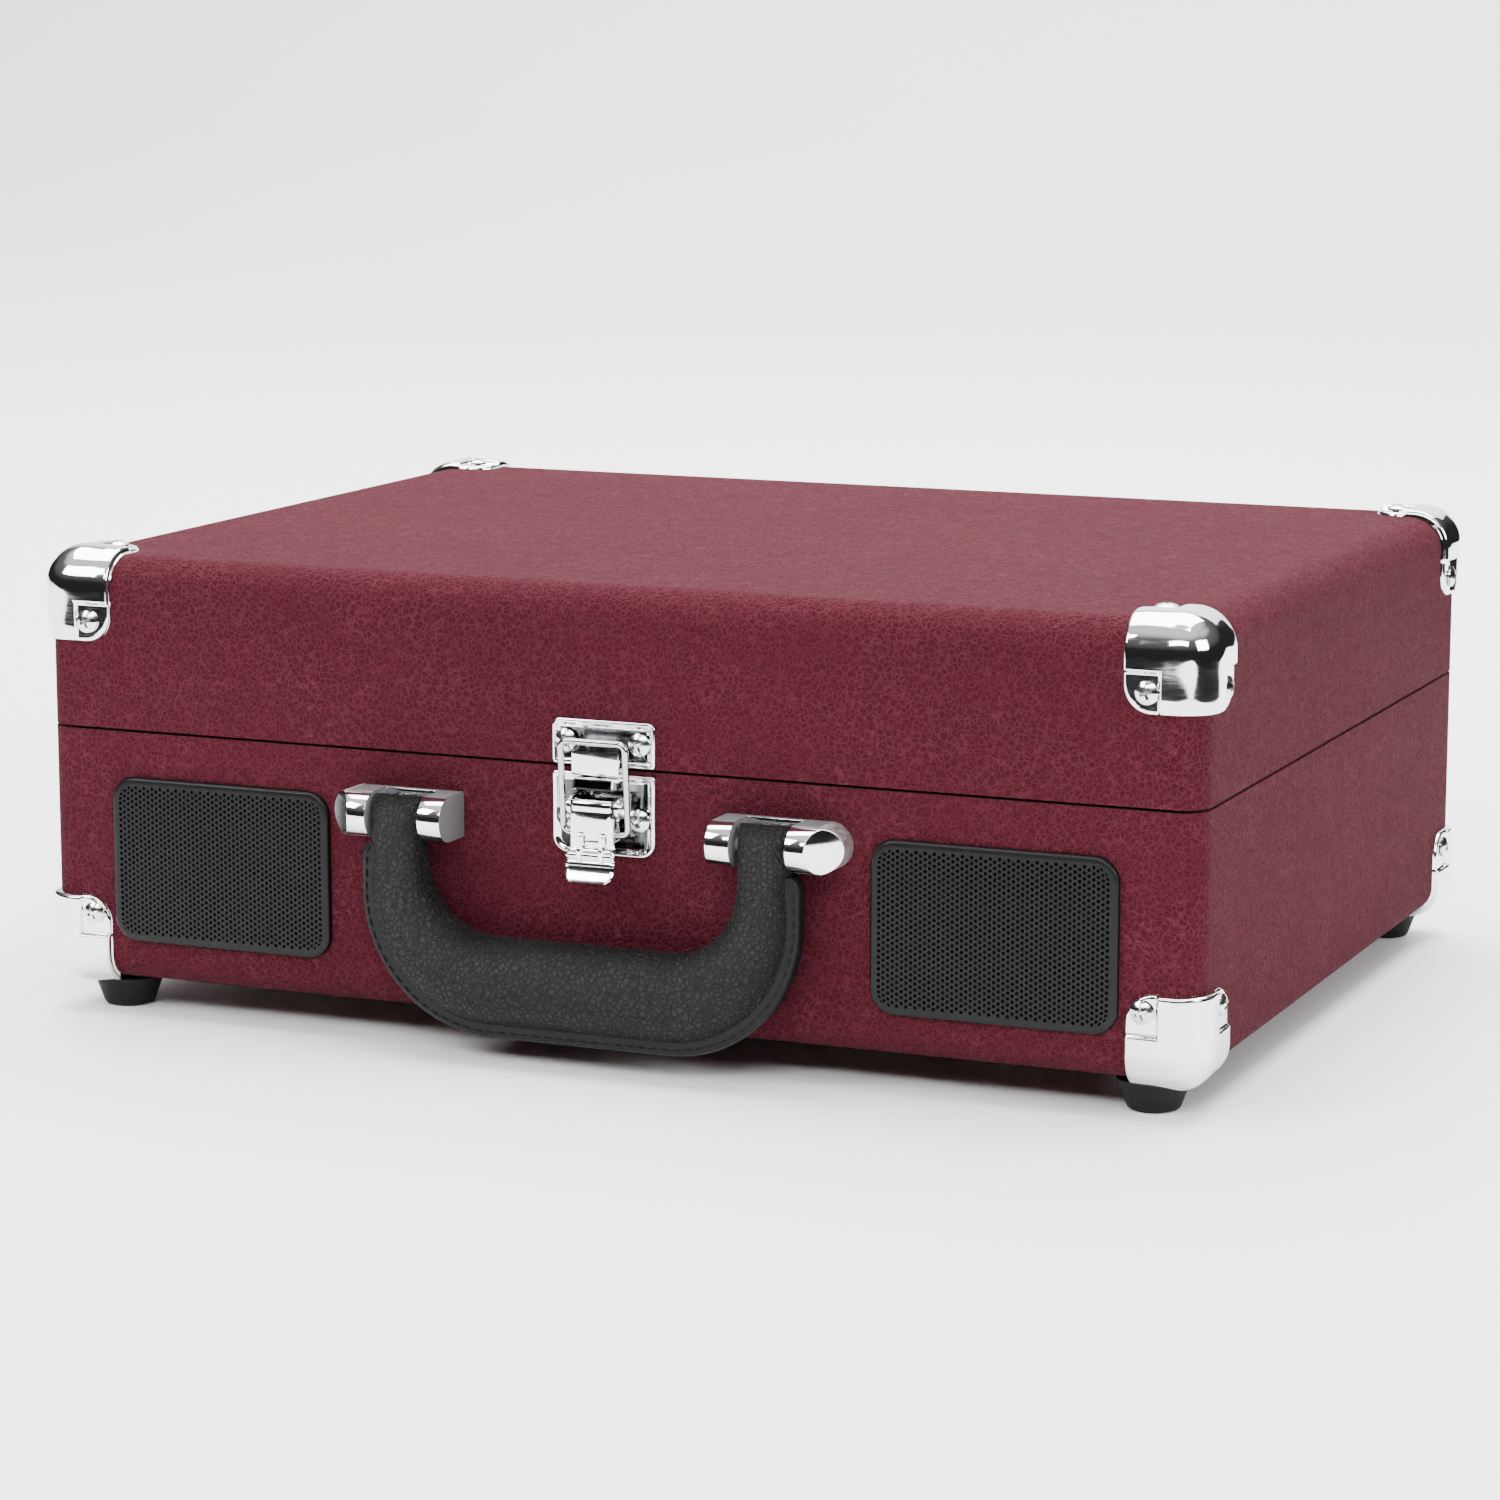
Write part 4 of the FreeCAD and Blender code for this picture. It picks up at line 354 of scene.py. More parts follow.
# the board is coloured far darker than bare board as painted shade, so its edges in the seam between lid and base read
# as a dark line
M["fibreboard"] = fibreboard("fibreboard", (0.045, 0.030, 0.022))
M["hardboard"] = hardboard("hardboard", (0.12, 0.070, 0.040))
M["lining"] = weave("lining", (0.012, 0.012, 0.013), (0.030, 0.030, 0.032))
M["chrome"] = chrome("chrome")
M["bright_steel"] = chrome("bright_steel", (0.80, 0.80, 0.81), 0.10, 1.0)
M["dark_steel"] = steel("dark_steel", (0.28, 0.28, 0.29), 0.35)
M["zinc_steel"] = steel("zinc_steel", (0.62, 0.62, 0.60), 0.34)
M["black_rubber"] = rubber("black_rubber", (0.0050, 0.0050, 0.0053))
M["belt_rubber"] = rubber("belt_rubber", (0.010, 0.010, 0.010))
M["handle_leather"] = hide("handle_leather", (0.0010, 0.0010, 0.0011), (0.017, 0.017, 0.018))
M["handle_welt"] = smooth_hide("handle_welt", (0.0035, 0.0035, 0.0038))
M["thread"] = smooth_hide("thread", (0.0022, 0.0022, 0.0023))
M["grille_paint"] = plastic("grille_paint", (0.0035, 0.0035, 0.0038), 0.34, 0.10, 2200, 0.20)
M["speaker_paper"] = felt("speaker_paper", (0.002, 0.002, 0.002), (0.006, 0.006, 0.006))
M["deck_plastic"] = plastic("deck_plastic", (0.014, 0.014, 0.015), 0.55, 0.4, 1800)
M["platter_plastic"] = plastic("platter_plastic", (0.018, 0.018, 0.019), 0.38, 0.12)
M["felt"] = felt("felt", (0.016, 0.016, 0.017), (0.055, 0.055, 0.057))
M["brass"] = steel("brass", (0.78, 0.58, 0.26), 0.22, (1, 1, 20))
M["arm_plastic"] = plastic("arm_plastic", (0.50, 0.50, 0.51), 0.28, 0.06, 2600, 0.6)
M["stylus_plastic"] = plastic("stylus_plastic", (0.42, 0.022, 0.020), 0.22, 0.03, 2600, 0.6)
M["knob_plastic"] = plastic("knob_plastic", (0.46, 0.46, 0.47), 0.26, 0.05, 2600, 0.6)
M["socket_plastic"] = plastic("socket_plastic", (0.016, 0.016, 0.016), 0.40, 0.2)
M["adapter_plastic"] = plastic("adapter_plastic", (0.020, 0.020, 0.021), 0.32, 0.08)
M["circuit_board"] = circuit("circuit_board")
M["zinc_face"] = cast_zinc("zinc_face", (0.17, 0.17, 0.175))
# field of the latch plates: near-black colour with pale streaks, a painted reflection
M["painted_reflection_plate_field"] = painted_reflection_metal("painted_reflection_plate_field", (0.022, 0.022, 0.024), (0.24, 0.24, 0.25))
M["nose_satin"] = steel("nose_satin", (0.86, 0.86, 0.87), 0.42, (1, 1, 1), 0.10)
# darker copy of the painted reflection field, its near-black colour is painted shade for the gap between hook and lever
M["painted_shade_field"] = painted_reflection_metal("painted_shade_field", (0.008, 0.008, 0.009), (0.045, 0.045, 0.047))
# the bail wire's chrome has a darker tint than the other chrome, a painted reflection of the dark room
M["wire_chrome_painted_shade"] = chrome("wire_chrome_painted_shade", (0.50, 0.50, 0.51), 0.05, 1.0)

OWN = {"latch_bail": "wire_chrome_painted_shade"}
for part in frame["record"]["subparts"]:
    node = frame["nodes"][part["node"]]
    node.data.materials.clear()
    node.data.materials.append(M[OWN.get(part["node"], part["material_slot"])])

# ---------------------------------------------------------------- mesh helpers


def mesh_object(name, verts, faces, mat, smooth=True, angle=35.0):
    me = bpy.data.meshes.new(name)
    me.from_pydata([W(*v) for v in verts], [], faces)
    me.validate(verbose=False)
    me.update()
    ob = bpy.data.objects.new(name, me)
    bpy.context.collection.objects.link(ob)
    mats = mat if isinstance(mat, (list, tuple)) else [mat]
    for m in mats:
        me.materials.append(m)
    if smooth:
        me.polygons.foreach_set("use_smooth", [True] * len(me.polygons))
        me.set_sharp_from_angle(angle=math.radians(angle))
    return ob


def weld(ob, dist=1e-6, flip_check=True):
    bm = bmesh.new()
    bm.from_mesh(ob.data)
    bmesh.ops.remove_doubles(bm, verts=bm.verts, dist=dist)
    bmesh.ops.dissolve_degenerate(bm, edges=bm.edges, dist=1e-7)
    bmesh.ops.recalc_face_normals(bm, faces=bm.faces)
    bm.to_mesh(ob.data)
    bm.free()


def smoothstep(a, b, x):
    t = min(1.0, max(0.0, (x - a) / (b - a)))
    return t * t * (3 - 2 * t)


def broken_edges(name, node, offset, body, slot, mats=None, pick=None, angle=30.0, segments=3):
    """A copy of a node's mesh with its sharp edges rounded, as cast or pressed metal has them."""
    src = frame["nodes"][node]
    bm = bmesh.new()
    bm.from_mesh(src.data)
    bm.transform(src.matrix_world)
    bmesh.ops.remove_doubles(bm, verts=bm.verts, dist=1e-6)
    bmesh.ops.dissolve_limit(bm, angle_limit=math.radians(0.6), verts=bm.verts, edges=bm.edges)
    bmesh.ops.recalc_face_normals(bm, faces=bm.faces)
    tree = BVHTree.FromBMesh(bm)
    edges = [e for e in bm.edges if len(e.link_faces) == 2 and e.calc_face_angle(0) > math.radians(angle)]
    bmesh.ops.bevel(bm, geom=edges, offset=offset * MM, offset_type="OFFSET", segments=segments, profile=0.5, affect="EDGES", clamp_overlap=True)
    for v in bm.verts:
        near, normal, _, dist = tree.find_nearest(v.co)
        if dist > 1.2 * offset * MM or (dist > 1e-6 and (v.co - near).dot(normal) > 0):
            v.co = near
    bmesh.ops.remove_doubles(bm, verts=bm.verts, dist=2e-6)
    bmesh.ops.dissolve_degenerate(bm, edges=bm.edges, dist=1e-7)
    bmesh.ops.recalc_face_normals(bm, faces=bm.faces)
    me = bpy.data.meshes.new(name)
    for m in mats or [M[slot]]:
        me.materials.append(m)
    if pick:
        for f in bm.faces:
            f.material_index = pick(f)
    bm.to_mesh(me)
    bm.free()
    me.polygons.foreach_set("use_smooth", [True] * len(me.polygons))
    me.set_sharp_from_angle(angle=math.radians(32))
    ob = bpy.data.objects.new(name, me)
    bpy.context.collection.objects.link(ob)
    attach(ob, body)
    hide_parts(node)
    return ob


def cast_faces(f):
    """The flat faces keep the sand finish; the nose and the scoop are polished."""
    n = f.normal
    if abs(n.y) < 0.35 and abs(f.calc_center_median().x) > 0.068:
        return 2
    big = f.calc_area() > 2e-6
    return 1 if big and (abs(n.z) > 0.97 or abs(n.x) > 0.97) else 0


for side in ("left", "right"):
    broken_edges("bracket_" + side, "handle_bracket_" + side, 0.55, "case", "chrome", [M["chrome"], M["zinc_face"], M["nose_satin"]], cast_faces)
broken_edges("lever_channel", "latch_lever", 0.22, "latch_lever", "chrome")


def rounded_rect(x0, z0, x1, z1, rl, rh, inset, n=7):
    """Outline of a plate, its low corners rl round and its high corners rh, drawn in by inset."""
    pts = []
    for cx, cz, r, a0 in ((x1, z0, rl, -90), (x1, z1, rh, 0), (x0, z1, rh, 90), (x0, z0, rl, 180)):
        rr = max(0.25, r - inset)
        ox = cx - math.copysign(inset + rr, cx - (x0 + x1) / 2)
        oz = cz - math.copysign(inset + rr, cz - (z0 + z1) / 2)
        for k in range(n):
            a = math.radians(a0 + 90 * k / (n - 1))
            pts.append((ox + rr * math.cos(a), oz + rr * math.sin(a)))
    return pts


LXC = 3.6


def tray(name, node, z0, z1, rl, rh, body, extra):
    """Pressed latch plate: a rounded rim standing round a lower field."""
    prof = [(0.0, 0.02), (0.0, 1.0), (0.08, 1.3), (0.30, 1.52), (0.62, 1.60), (0.95, 1.56), (1.25, 1.42), (1.6, 1.16), (1.95, 1.02), (2.4, 0.98)]
    hw = 31.5 / 2
    verts, faces, last = [], [], None
    for inset, y in prof:
        ring = []
        for x, z in rounded_rect(LXC - hw, z0, LXC + hw, z1, rl, rh, inset):
            ring.append(len(verts))
            verts.append((x, -HD - y, z))
        if last:
            n = len(ring)
            for k in range(n):
                faces.append((last[k], last[(k + 1) % n], ring[(k + 1) % n], ring[k]))
        else:
            faces.append(tuple(reversed(ring)))
        last = ring
    faces.append(tuple(last))
    field = len(faces) - 1
    for part in extra:
        o = len(verts)
        pv, pf = part
        verts += pv
        faces += [tuple(o + i for i in f) for f in pf]
    ob = mesh_object(name, verts, faces, [M["chrome"], M["painted_reflection_plate_field"]], angle=38)
    ob.data.polygons[field].material_index = 1
    weld(ob, 1e-6)
    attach(ob, body)
    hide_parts(node)
    return ob


def swept_x(profile, x0, x1, soft=0.25):
    """A sheet form with the given side outline (y, z), its two ends slightly drawn in."""
    n = len(profile)
    cy = sum(p[0] for p in profile) / n
    cz = sum(p[1] for p in profile) / n
    verts, faces = [], []
    for x, k in ((x0, 0.0), (x0 + soft * 0.3, 0.6), (x0 + soft, 1.0), (x1 - soft, 1.0), (x1 - soft * 0.3, 0.6), (x1, 0.0)):
        for i, (y, z) in enumerate(profile):
            a, b = profile[i - 1], profile[(i + 1) % n]
            ty, tz = b[0] - a[0], b[1] - a[1]
            l = math.hypot(ty, tz) or 1.0
            d = (1 - k) * soft * 0.5
            verts.append((x, y - tz / l * d * W_SIGN(profile), z + ty / l * d * W_SIGN(profile)))
    for j in range(5):
        for i in range(n):
            a, b = j * n + i, j * n + (i + 1) % n
            faces.append((a, b, b + n, a + n))
    faces.append(tuple(reversed(range(n))))
    faces.append(tuple(5 * n + i for i in range(n)))
    return verts, faces


def W_SIGN(profile):
    area = sum(a[0] * b[1] - b[0] * a[1] for a, b in zip(profile, profile[1:] + profile[:1]))
    return 1.0 if area > 0 else -1.0


def sheet_profile(line, t):
    """Closed outline of a bent strip of thickness t along a line of (y, z) points."""
    left, right = [], []
    for i, (y, z) in enumerate(line):
        a, b = line[max(0, i - 1)], line[min(len(line) - 1, i + 1)]
        ty, tz = b[0] - a[0], b[1] - a[1]
        l = math.hypot(ty, tz)
        ny, nz = -tz / l, ty / l
        left.append((y + ny * t / 2, z + nz * t / 2))
        right.append((y - ny * t / 2, z - nz * t / 2))
    return left + right[::-1]


def arc(cy, cz, r, a0, a1, n=6):
    return [(cy + r * math.cos(math.radians(a0 + (a1 - a0) * k / n)), cz + r * math.sin(math.radians(a0 + (a1 - a0) * k / n))) for k in range(n + 1)]


# hook of the strike plate: from the plate's lower edge forward, then up in a flat tongue
hook_line = [(-HD - 0.9, 76.6), (-HD - 1.3, 75.4)] + arc(-HD - 2.2, 74.6, 0.9, 60, -90 + 360 - 360, 4)[1:] + [(-HD - 4.6, 73.75)]
hook_line = [(-HD - 1.1, 77.2), (-HD - 1.15, 75.6), (-HD - 1.5, 74.4), (-HD - 2.4, 73.98), (-HD - 4.6, 73.95)] + arc(-HD - 5.5, 75.0, 1.05, -60, -180, 6) + [(-HD - 6.62, 77.0), (-HD - 6.66, 79.6), (-HD - 6.60, 80.6)]
hook = swept_x(sheet_profile(hook_line, 1.0), LXC - 7.2, LXC + 7.2)
tray("strike_tray", "latch_strike_plate", 75.6, 88.6, 1.0, 2.2, "lid", [hook])


def ear_form(x0):
    """A standing ear for the lever's pin."""
    pts = [(-135.3, 62.0), (-135.3, 68.0), (-140.2, 68.0)] + arc(-140.2, 65.0, 3.0, 90, 270, 12)[1:] + [(-140.2, 62.0)]
    pts = pts[:-1]
    return swept_x(pts, x0, x0 + 1.1, 0.2)


tray("lower_tray", "latch_base_plate", 50.3, 73.6, 4.5, 1.0, "case", [ear_form(LXC - 7.8), ear_form(LXC + 6.7)])


def small_piece(name, parts, body, mat):
    verts, faces = [], []
    for pv, pf in parts:
        o = len(verts)
        verts += pv
        faces += [tuple(o + i for i in f) for f in pf]
    ob = mesh_object(name, verts, faces, mat, angle=40)
    weld(ob, 1e-7)
    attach(ob, body)
    return ob


# finger tab: ribbed lip under the lever, its corners rounded, hung on two knuckles
def finger_tab():
    mid = [(-143.85, 53.5), (-143.95, 52.7), (-144.45, 52.3), (-144.75, 51.8), (-144.55, 51.2), (-144.05, 50.8), (-143.95, 50.3), (-144.4, 49.7), (-144.55, 49.1),
           (-144.45, 48.4), (-144.7, 47.6), (-145.3, 46.5), (-146.1, 45.4), (-146.75, 44.6)]
    t, hw = 0.9, 7.3
    nx = 28
    verts, faces = [], []
    lines_ = []
    for i, (y, z) in enumerate(mid):
        a, b = mid[max(0, i - 1)], mid[min(len(mid) - 1, i + 1)]
        ty, tz = b[0] - a[0], b[1] - a[1]
        l = math.hypot(ty, tz)
        lines_.append((y, z, -tz / l, ty / l))
    last = len(mid) - 1
    for layer in (1, -1):
        for i, (y, z, ny, nz) in enumerate(lines_):
            # the lower corners are round
            k = max(0.0, (i - (last - 3)) / 3.0)
            w = hw - 1.9 * (1 - math.sqrt(max(0.0, 1 - k * k)))
            top = max(0.0, 1 - i / 2.0)
            w -= 0.7 * top
            for j in range(nx + 1):
                u = -1 + 2 * j / nx
                x = w * u
                e = min(1.0, (1 - abs(u)) * w / 0.45)
                th = t / 2 * (0.35 + 0.65 * math.sqrt(e * (2 - e)))
                ends = min(1.0, min(i, last - i) / 1.0 + 0.35)
                verts.append((LXC + x, y + ny * th * layer * ends, z + nz * th * layer * ends))
    m = len(mid)
    n = nx + 1
    for L in (0, 1):
        for i in range(m - 1):
            for j in range(nx):
                q = L * m * n + i * n + j
                faces.append((q, q + 1, q + n + 1, q + n))
    rim = [j for j in range(n)] + [i * n + nx for i in range(1, m)] + [(m - 1) * n + j for j in range(nx - 1, -1, -1)] + [i * n for i in range(m - 2, 0, -1)]
    for p_, q_ in zip(rim, rim[1:] + rim[:1]):
        faces.append((p_, q_, m * n + q_, m * n + p_))
    ob = mesh_object("finger_lip", verts, faces, M["chrome"], angle=50)
    weld(ob, 1e-7)
    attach(ob, "latch_lever")
    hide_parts("latch_finger_tab")


finger_tab()
# raised bridge of the lower plate, just under the hook: a bright frame round a dark field that leans back; the field's
# dark colour is painted shade
bridge = [(-HD - 0.8, 70.1), (-142.75, 70.1), (-142.95, 70.3), (-142.15, 73.05), (-141.9, 73.2), (-HD - 0.8, 73.2)]
small_piece("catch_bridge", [swept_x(bridge, LXC - 6.1, LXC + 6.1, 0.3)], "case", M["chrome"])
field_strip = [(-142.85, 70.52), (-143.02, 70.60), (-142.36, 72.78), (-142.18, 72.80)]
small_piece("catch_field", [swept_x(field_strip, LXC - 5.4, LXC + 5.4, 0.15)], "case", M["painted_shade_field"])

knuckles = []
for dx in (-3.3, 3.3):
    kv, kf = [], []
    rings = [(54.3, 0.30), (54.15, 0.58), (53.8, 0.78), (53.2, 0.84), (51.2, 0.84), (50.5, 0.80), (50.0, 0.60), (49.8, 0.30)]
    for z, r in rings:
        for k in range(14):
            a = 2 * math.pi * k / 14
            kv.append((LXC + dx + r * math.cos(a), -144.75 + r * 0.9 * math.sin(a), z))
    for i in range(len(rings) - 1):
        for k in range(14):
            a, b = i * 14 + k, i * 14 + (k + 1) % 14
            kf.append((a, b, b + 14, a + 14))
    kf.append(tuple(reversed(range(14))))
    kf.append(tuple((len(rings) - 1) * 14 + k for k in range(14)))
    knuckles.append((kv, kf))
small_piece("tab_knuckles", knuckles, "latch_lever", M["chrome"])
# lugs of the finger lip curled over the lever's face, and the lever's turned-in top lip
curls = []
for dx in (-3.3, 3.3):
    line = [(-143.7, 54.6), (-143.78, 55.6)] + arc(-143.35, 57.0, 0.62, 200, 60, 6)
    curls.append(swept_x(sheet_profile(line, 0.6), LXC + dx - 0.95, LXC + dx + 0.95, 0.3))
small_piece("lip_curls", curls, "latch_lever", M["chrome"])
lip_line = [(-143.45, 64.2), (-143.62, 65.0), (-143.62, 66.2), (-143.3, 66.9), (-142.7, 67.15)]
small_piece("lever_top_lip", [swept_x(sheet_profile(lip_line, 0.7), LXC - 5.9, LXC + 5.9, 0.6)], "latch_lever", M["chrome"])

# ---------------------------------------------------------------- case corners


def lines(limit, step, extra, fine_end):
    """Grid lines from 0 to limit, with extra ones where the sheet steps and near its edge."""
    v = {round(i * step, 4) for i in range(int(limit / step) + 1)} | {limit}
    v |= {round(e, 4) for e in extra if 0 < e < limit}
    v |= {round(limit - e, 4) for e in fine_end}
    out = []
    for x in sorted(v):
        if not out or x - out[-1] > 0.08:
            out.append(x)
    out[-1] = limit
    return out


def corner(name, sx, sy, top, body, node):
    """Pressed corner: three lobes over the case's rounded corner, domed, each with a sunk pad for its screw."""
    U, V, Z = (22.5 if top else 20.6), 22.5, 25.0
    R, RL = (9.4 if top else 8.0), 8.0
    pad_u, pad_z = (12.0 if top else 11.2), 13.4
    rise, low = 2.35, 1.2
    ends = (0.12, 0.3, 0.55, 0.9, 1.3)
    step_u = [pad_u + d for d in (-0.8, -0.55, -0.35, -0.12, 0.12, 0.35, 0.55, 0.8)]
    step_z = [pad_z + d for d in (-0.8, -0.55, -0.35, -0.12, 0.12, 0.35, 0.55, 0.8)]
    gu, gv = lines(U, 0.9, step_u, ends), lines(V, 0.9, step_u, ends)
    gz = lines(Z, 0.9, step_z, ends)
    verts, faces = [], []

    def place(p, h):
        q = [max(c, R) for c in p]
        d = [a - b for a, b in zip(p, q)]
        n = math.sqrt(sum(c * c for c in d)) or 1.0
        o = [b + (R + h) * c / n for b, c in zip(q, d)]
        x, y, z = HW - o[0], HD - o[1], TOP - o[2]
        if not top:
            z = o[2]
        return (sx * x, sy * y, z)

    def lobe(ga, gb, A, B, pa, pb, put):
        n0 = len(verts)
        na, nb = len(ga), len(gb)
        for layer in (1, 0):
            for a in ga:
                for b in gb:
                    ca, cb = a, b
                    s, t = (a - (A - RL)) / RL, (b - (B - RL)) / RL
                    if s > 0 and t > 0:
                        s2, t2 = s * math.sqrt(1 - t * t / 2), t * math.sqrt(1 - s * s / 2)
                        ca, cb = A - RL + RL * s2, B - RL + RL * t2
                        d = RL * (1 - math.hypot(s2, t2))
                    else:
                        d = min(A - a, B - b)
                    edge = math.sqrt(max(0.0, 1 - (1 - min(1.0, d / 1.0)) ** 2))
                    # the pad is sunk inside two straight steps
                    inside = min(ca - pa, cb - pb)
                    sunk = smoothstep(-0.55, 0.55, inside)
                    # the body swells away from the pad and falls a little to its edges
                    swell = rise + 0.35 * math.exp(-((ca - 6) ** 2 + (cb - 6) ** 2) / 60.0) - 0.3 * (1 - min(1.0, d / 4.0))
                    h = (low * sunk + swell * (1 - sunk)) * edge
                    if layer == 0:
                        h = 0.02
                    verts.append(place(put(ca, cb), h))
        for layer in (0, 1):
            for i in range(na - 1):
                for j in range(nb - 1):
                    k = n0 + layer * na * nb + i * nb + j
                    faces.append((k, k + nb, k + nb + 1, k + 1))
        # the rim joins the two layers
        m = na * nb
        rim = [(na - 1) * nb + j for j in range(nb)], [i * nb + nb - 1 for i in range(na)]
        for line in rim:
            for p, q in zip(line, line[1:]):
                faces.append((n0 + p, n0 + q, n0 + m + q, n0 + m + p))

    lobe(gu, gz, U, Z, pad_u, pad_z, lambda a, b: (a, 0.0, b))
    lobe(gv, gz, V, Z, pad_u, pad_z, lambda a, b: (0.0, a, b))
    lobe(gu, gv, U, V, pad_u, pad_u, lambda a, b: (a, b, 0.0))
    ob = mesh_object(name, verts, faces, M["chrome"], angle=50)
    weld(ob, 2e-6)
    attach(ob, body)
    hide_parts(node)
    return ob


for sx, side in ((-1, "left"), (1, "right")):
    for sy, end in ((-1, "front"), (1, "rear")):
        corner("corner_cap_lid_%s_%s" % (end, side), sx, sy, True, "lid", "corner_lid_%s_%s" % (end, side))
        corner("corner_cap_base_%s_%s" % (end, side), sx, sy, False, "case", "corner_base_%s_%s" % (end, side))

# ---------------------------------------------------------------- grilles


def grille(name, node):
    """Perforated sheet punched nearly to its folded, rounded rim, over a black cloth."""
    lo_, hi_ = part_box(node)
    w, h = (hi_[0] - lo_[0]) / MM / 2, (hi_[2] - lo_[2]) / MM / 2
    gx = ((lo_[0] + hi_[0]) / 2 - CX) / MM
    gz = ((lo_[2] + hi_[2]) / 2 - CZ) / MM
    pa, pb, r = 1.66, 1.34, 0.53
    na, nb = int((2 * h - 3.4) / pa), int((2 * w - 3.4) / pb)
    Z, X = na * pa / 2, nb * pb / 2
    RC = 5.0
    yf, yb = -HD - 1.8, -HD - 1.25
    verts, faces, index = [], [], {}

    def bend(x, z, ww, hh, rc):
        """Draws a rectangle's corners in to arcs."""
        s, t = (abs(x) - (ww - rc)) / rc, (abs(z) - (hh - rc)) / rc
        if s > 0 and t > 0:
            s, t = min(s, 1.0), min(t, 1.0)
            x = math.copysign(ww - rc + rc * s * math.sqrt(1 - t * t / 2), x)
            z = math.copysign(hh - rc + rc * t * math.sqrt(1 - s * s / 2), z)
        return x, z

    def vid(x, y, z):
        key = (round(x, 4), round(y, 4), round(z, 4))
        if key not in index:
            index[key] = len(verts)
            bx, bz = bend(x, z, X, Z, RC)
            verts.append((gx + bx, y, gz + bz))
        return index[key]

    def holed(a, b):
        ring = [(a + r * math.cos(math.pi * k / 8), b + r * math.sin(math.pi * k / 8)) for k in range(16)]
        ha, hb = pa / 2, pb / 2
        edge = [(a + ha, b), (a + ha, b + hb), (a, b + hb), (a - ha, b + hb), (a - ha, b), (a - ha, b - hb), (a, b - hb), (a + ha, b - hb)]
        for y in (yf, yb):
            for k in range(8):
                p, q = edge[k], edge[(k + 1) % 8]
                c = [ring[(2 * k + 2) % 16], ring[2 * k + 1], ring[2 * k]]
                f = [p, q] + c
                faces.append(tuple(vid(bb, y, aa) for aa, bb in f))
        for k in range(16):
            p, q = ring[k], ring[(k + 1) % 16]
            faces.append((vid(p[1], yf, p[0]), vid(q[1], yf, q[0]), vid(q[1], yb, q[0]), vid(p[1], yb, p[0])))

    def plain(a0, a1, b):
        hb = pb / 2
        for y in (yf, yb):
            f = [(a0, b - hb), (a1, b - hb), (a1, b), (a1, b + hb), (a0, b + hb), (a0, b)]
            faces.append(tuple(vid(bb, y, aa) for aa, bb in f))

    for j in range(nb):
        b = -X + (j + 0.5) * pb
        if j % 2 == 0:
            for i in range(na):
                holed(-Z + (i + 0.5) * pa, b)
        else:
            plain(-Z, -Z + pa / 2, b)
            for i in range(na - 1):
                holed(-Z + (i + 1.0) * pa, b)
            plain(Z - pa / 2, Z, b)
    loop = [(-X, -Z + i * pa / 2) for i in range(2 * na)]
    loop += [(-X + j * pb / 2, Z) for j in range(2 * nb)]
    loop += [(X, Z - i * pa / 2) for i in range(2 * na)]
    loop += [(X - j * pb / 2, -Z) for j in range(2 * nb)]
    margin = w - X
    prof = [(1.0, yf), (0.62, yf + 0.10), (0.3, yf + 0.34), (0.1, yf + 0.7), (0.0, yf + 1.2), (0.0, yf + 1.76),
            (0.55, yf + 1.76), (0.62, yf + 1.25), (0.85, yf + 0.85), (1.2, yb)]
    rings = [[vid(x, yf, z) for x, z in loop]]
    for inset, y in prof:
        ring = []
        rc = RC + margin - inset
        ww, hh = w - inset, h - inset
        for x, z in loop:
            px, pz = x * ww / X, z * hh / Z
            px, pz = bend(px, pz, ww, hh, rc)
            ring.append(len(verts))
            verts.append((gx + px, y, gz + pz))
        rings.append(ring)
    rings.append([vid(x, yb, z) for x, z in loop])
    for r0, r1 in zip(rings, rings[1:]):
        n = len(r0)
        for k in range(n):
            faces.append((r0[k], r0[(k + 1) % n], r1[(k + 1) % n], r1[k]))
    ob = mesh_object(name, verts, faces, M["grille_paint"], angle=40)
    weld(ob, 1e-7)
    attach(ob, "case")
    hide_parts(node)
    # cloth behind the holes
    cv, cf, last = [], [], None
    outline = [bend(x, z, X, Z, RC) for x, z in loop]
    for y, k in ((-HD - 0.20, 0.985), (-HD - 0.34, 1.0), (-HD - 0.50, 0.985)):
        ring = []
        for x, z in outline:
            ring.append(len(cv))
            cv.append((gx + x * k, y, gz + z * k))
        if last:
            n = len(ring)
            for q in range(n):
                cf.append((last[q], last[(q + 1) % n], ring[(q + 1) % n], ring[q]))
        else:
            cf.append(tuple(reversed(ring)))
        last = ring
    cf.append(tuple(last))
    cl = mesh_object(name + "_cloth", cv, cf, M["speaker_paper"], angle=40)
    weld(cl, 1e-7)
    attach(cl, "case")


grille("grille_mesh_left", "grille_left")
grille("grille_mesh_right", "grille_right")

# ---------------------------------------------------------------- handle

HPY, HPZ = -143.5, 58.5


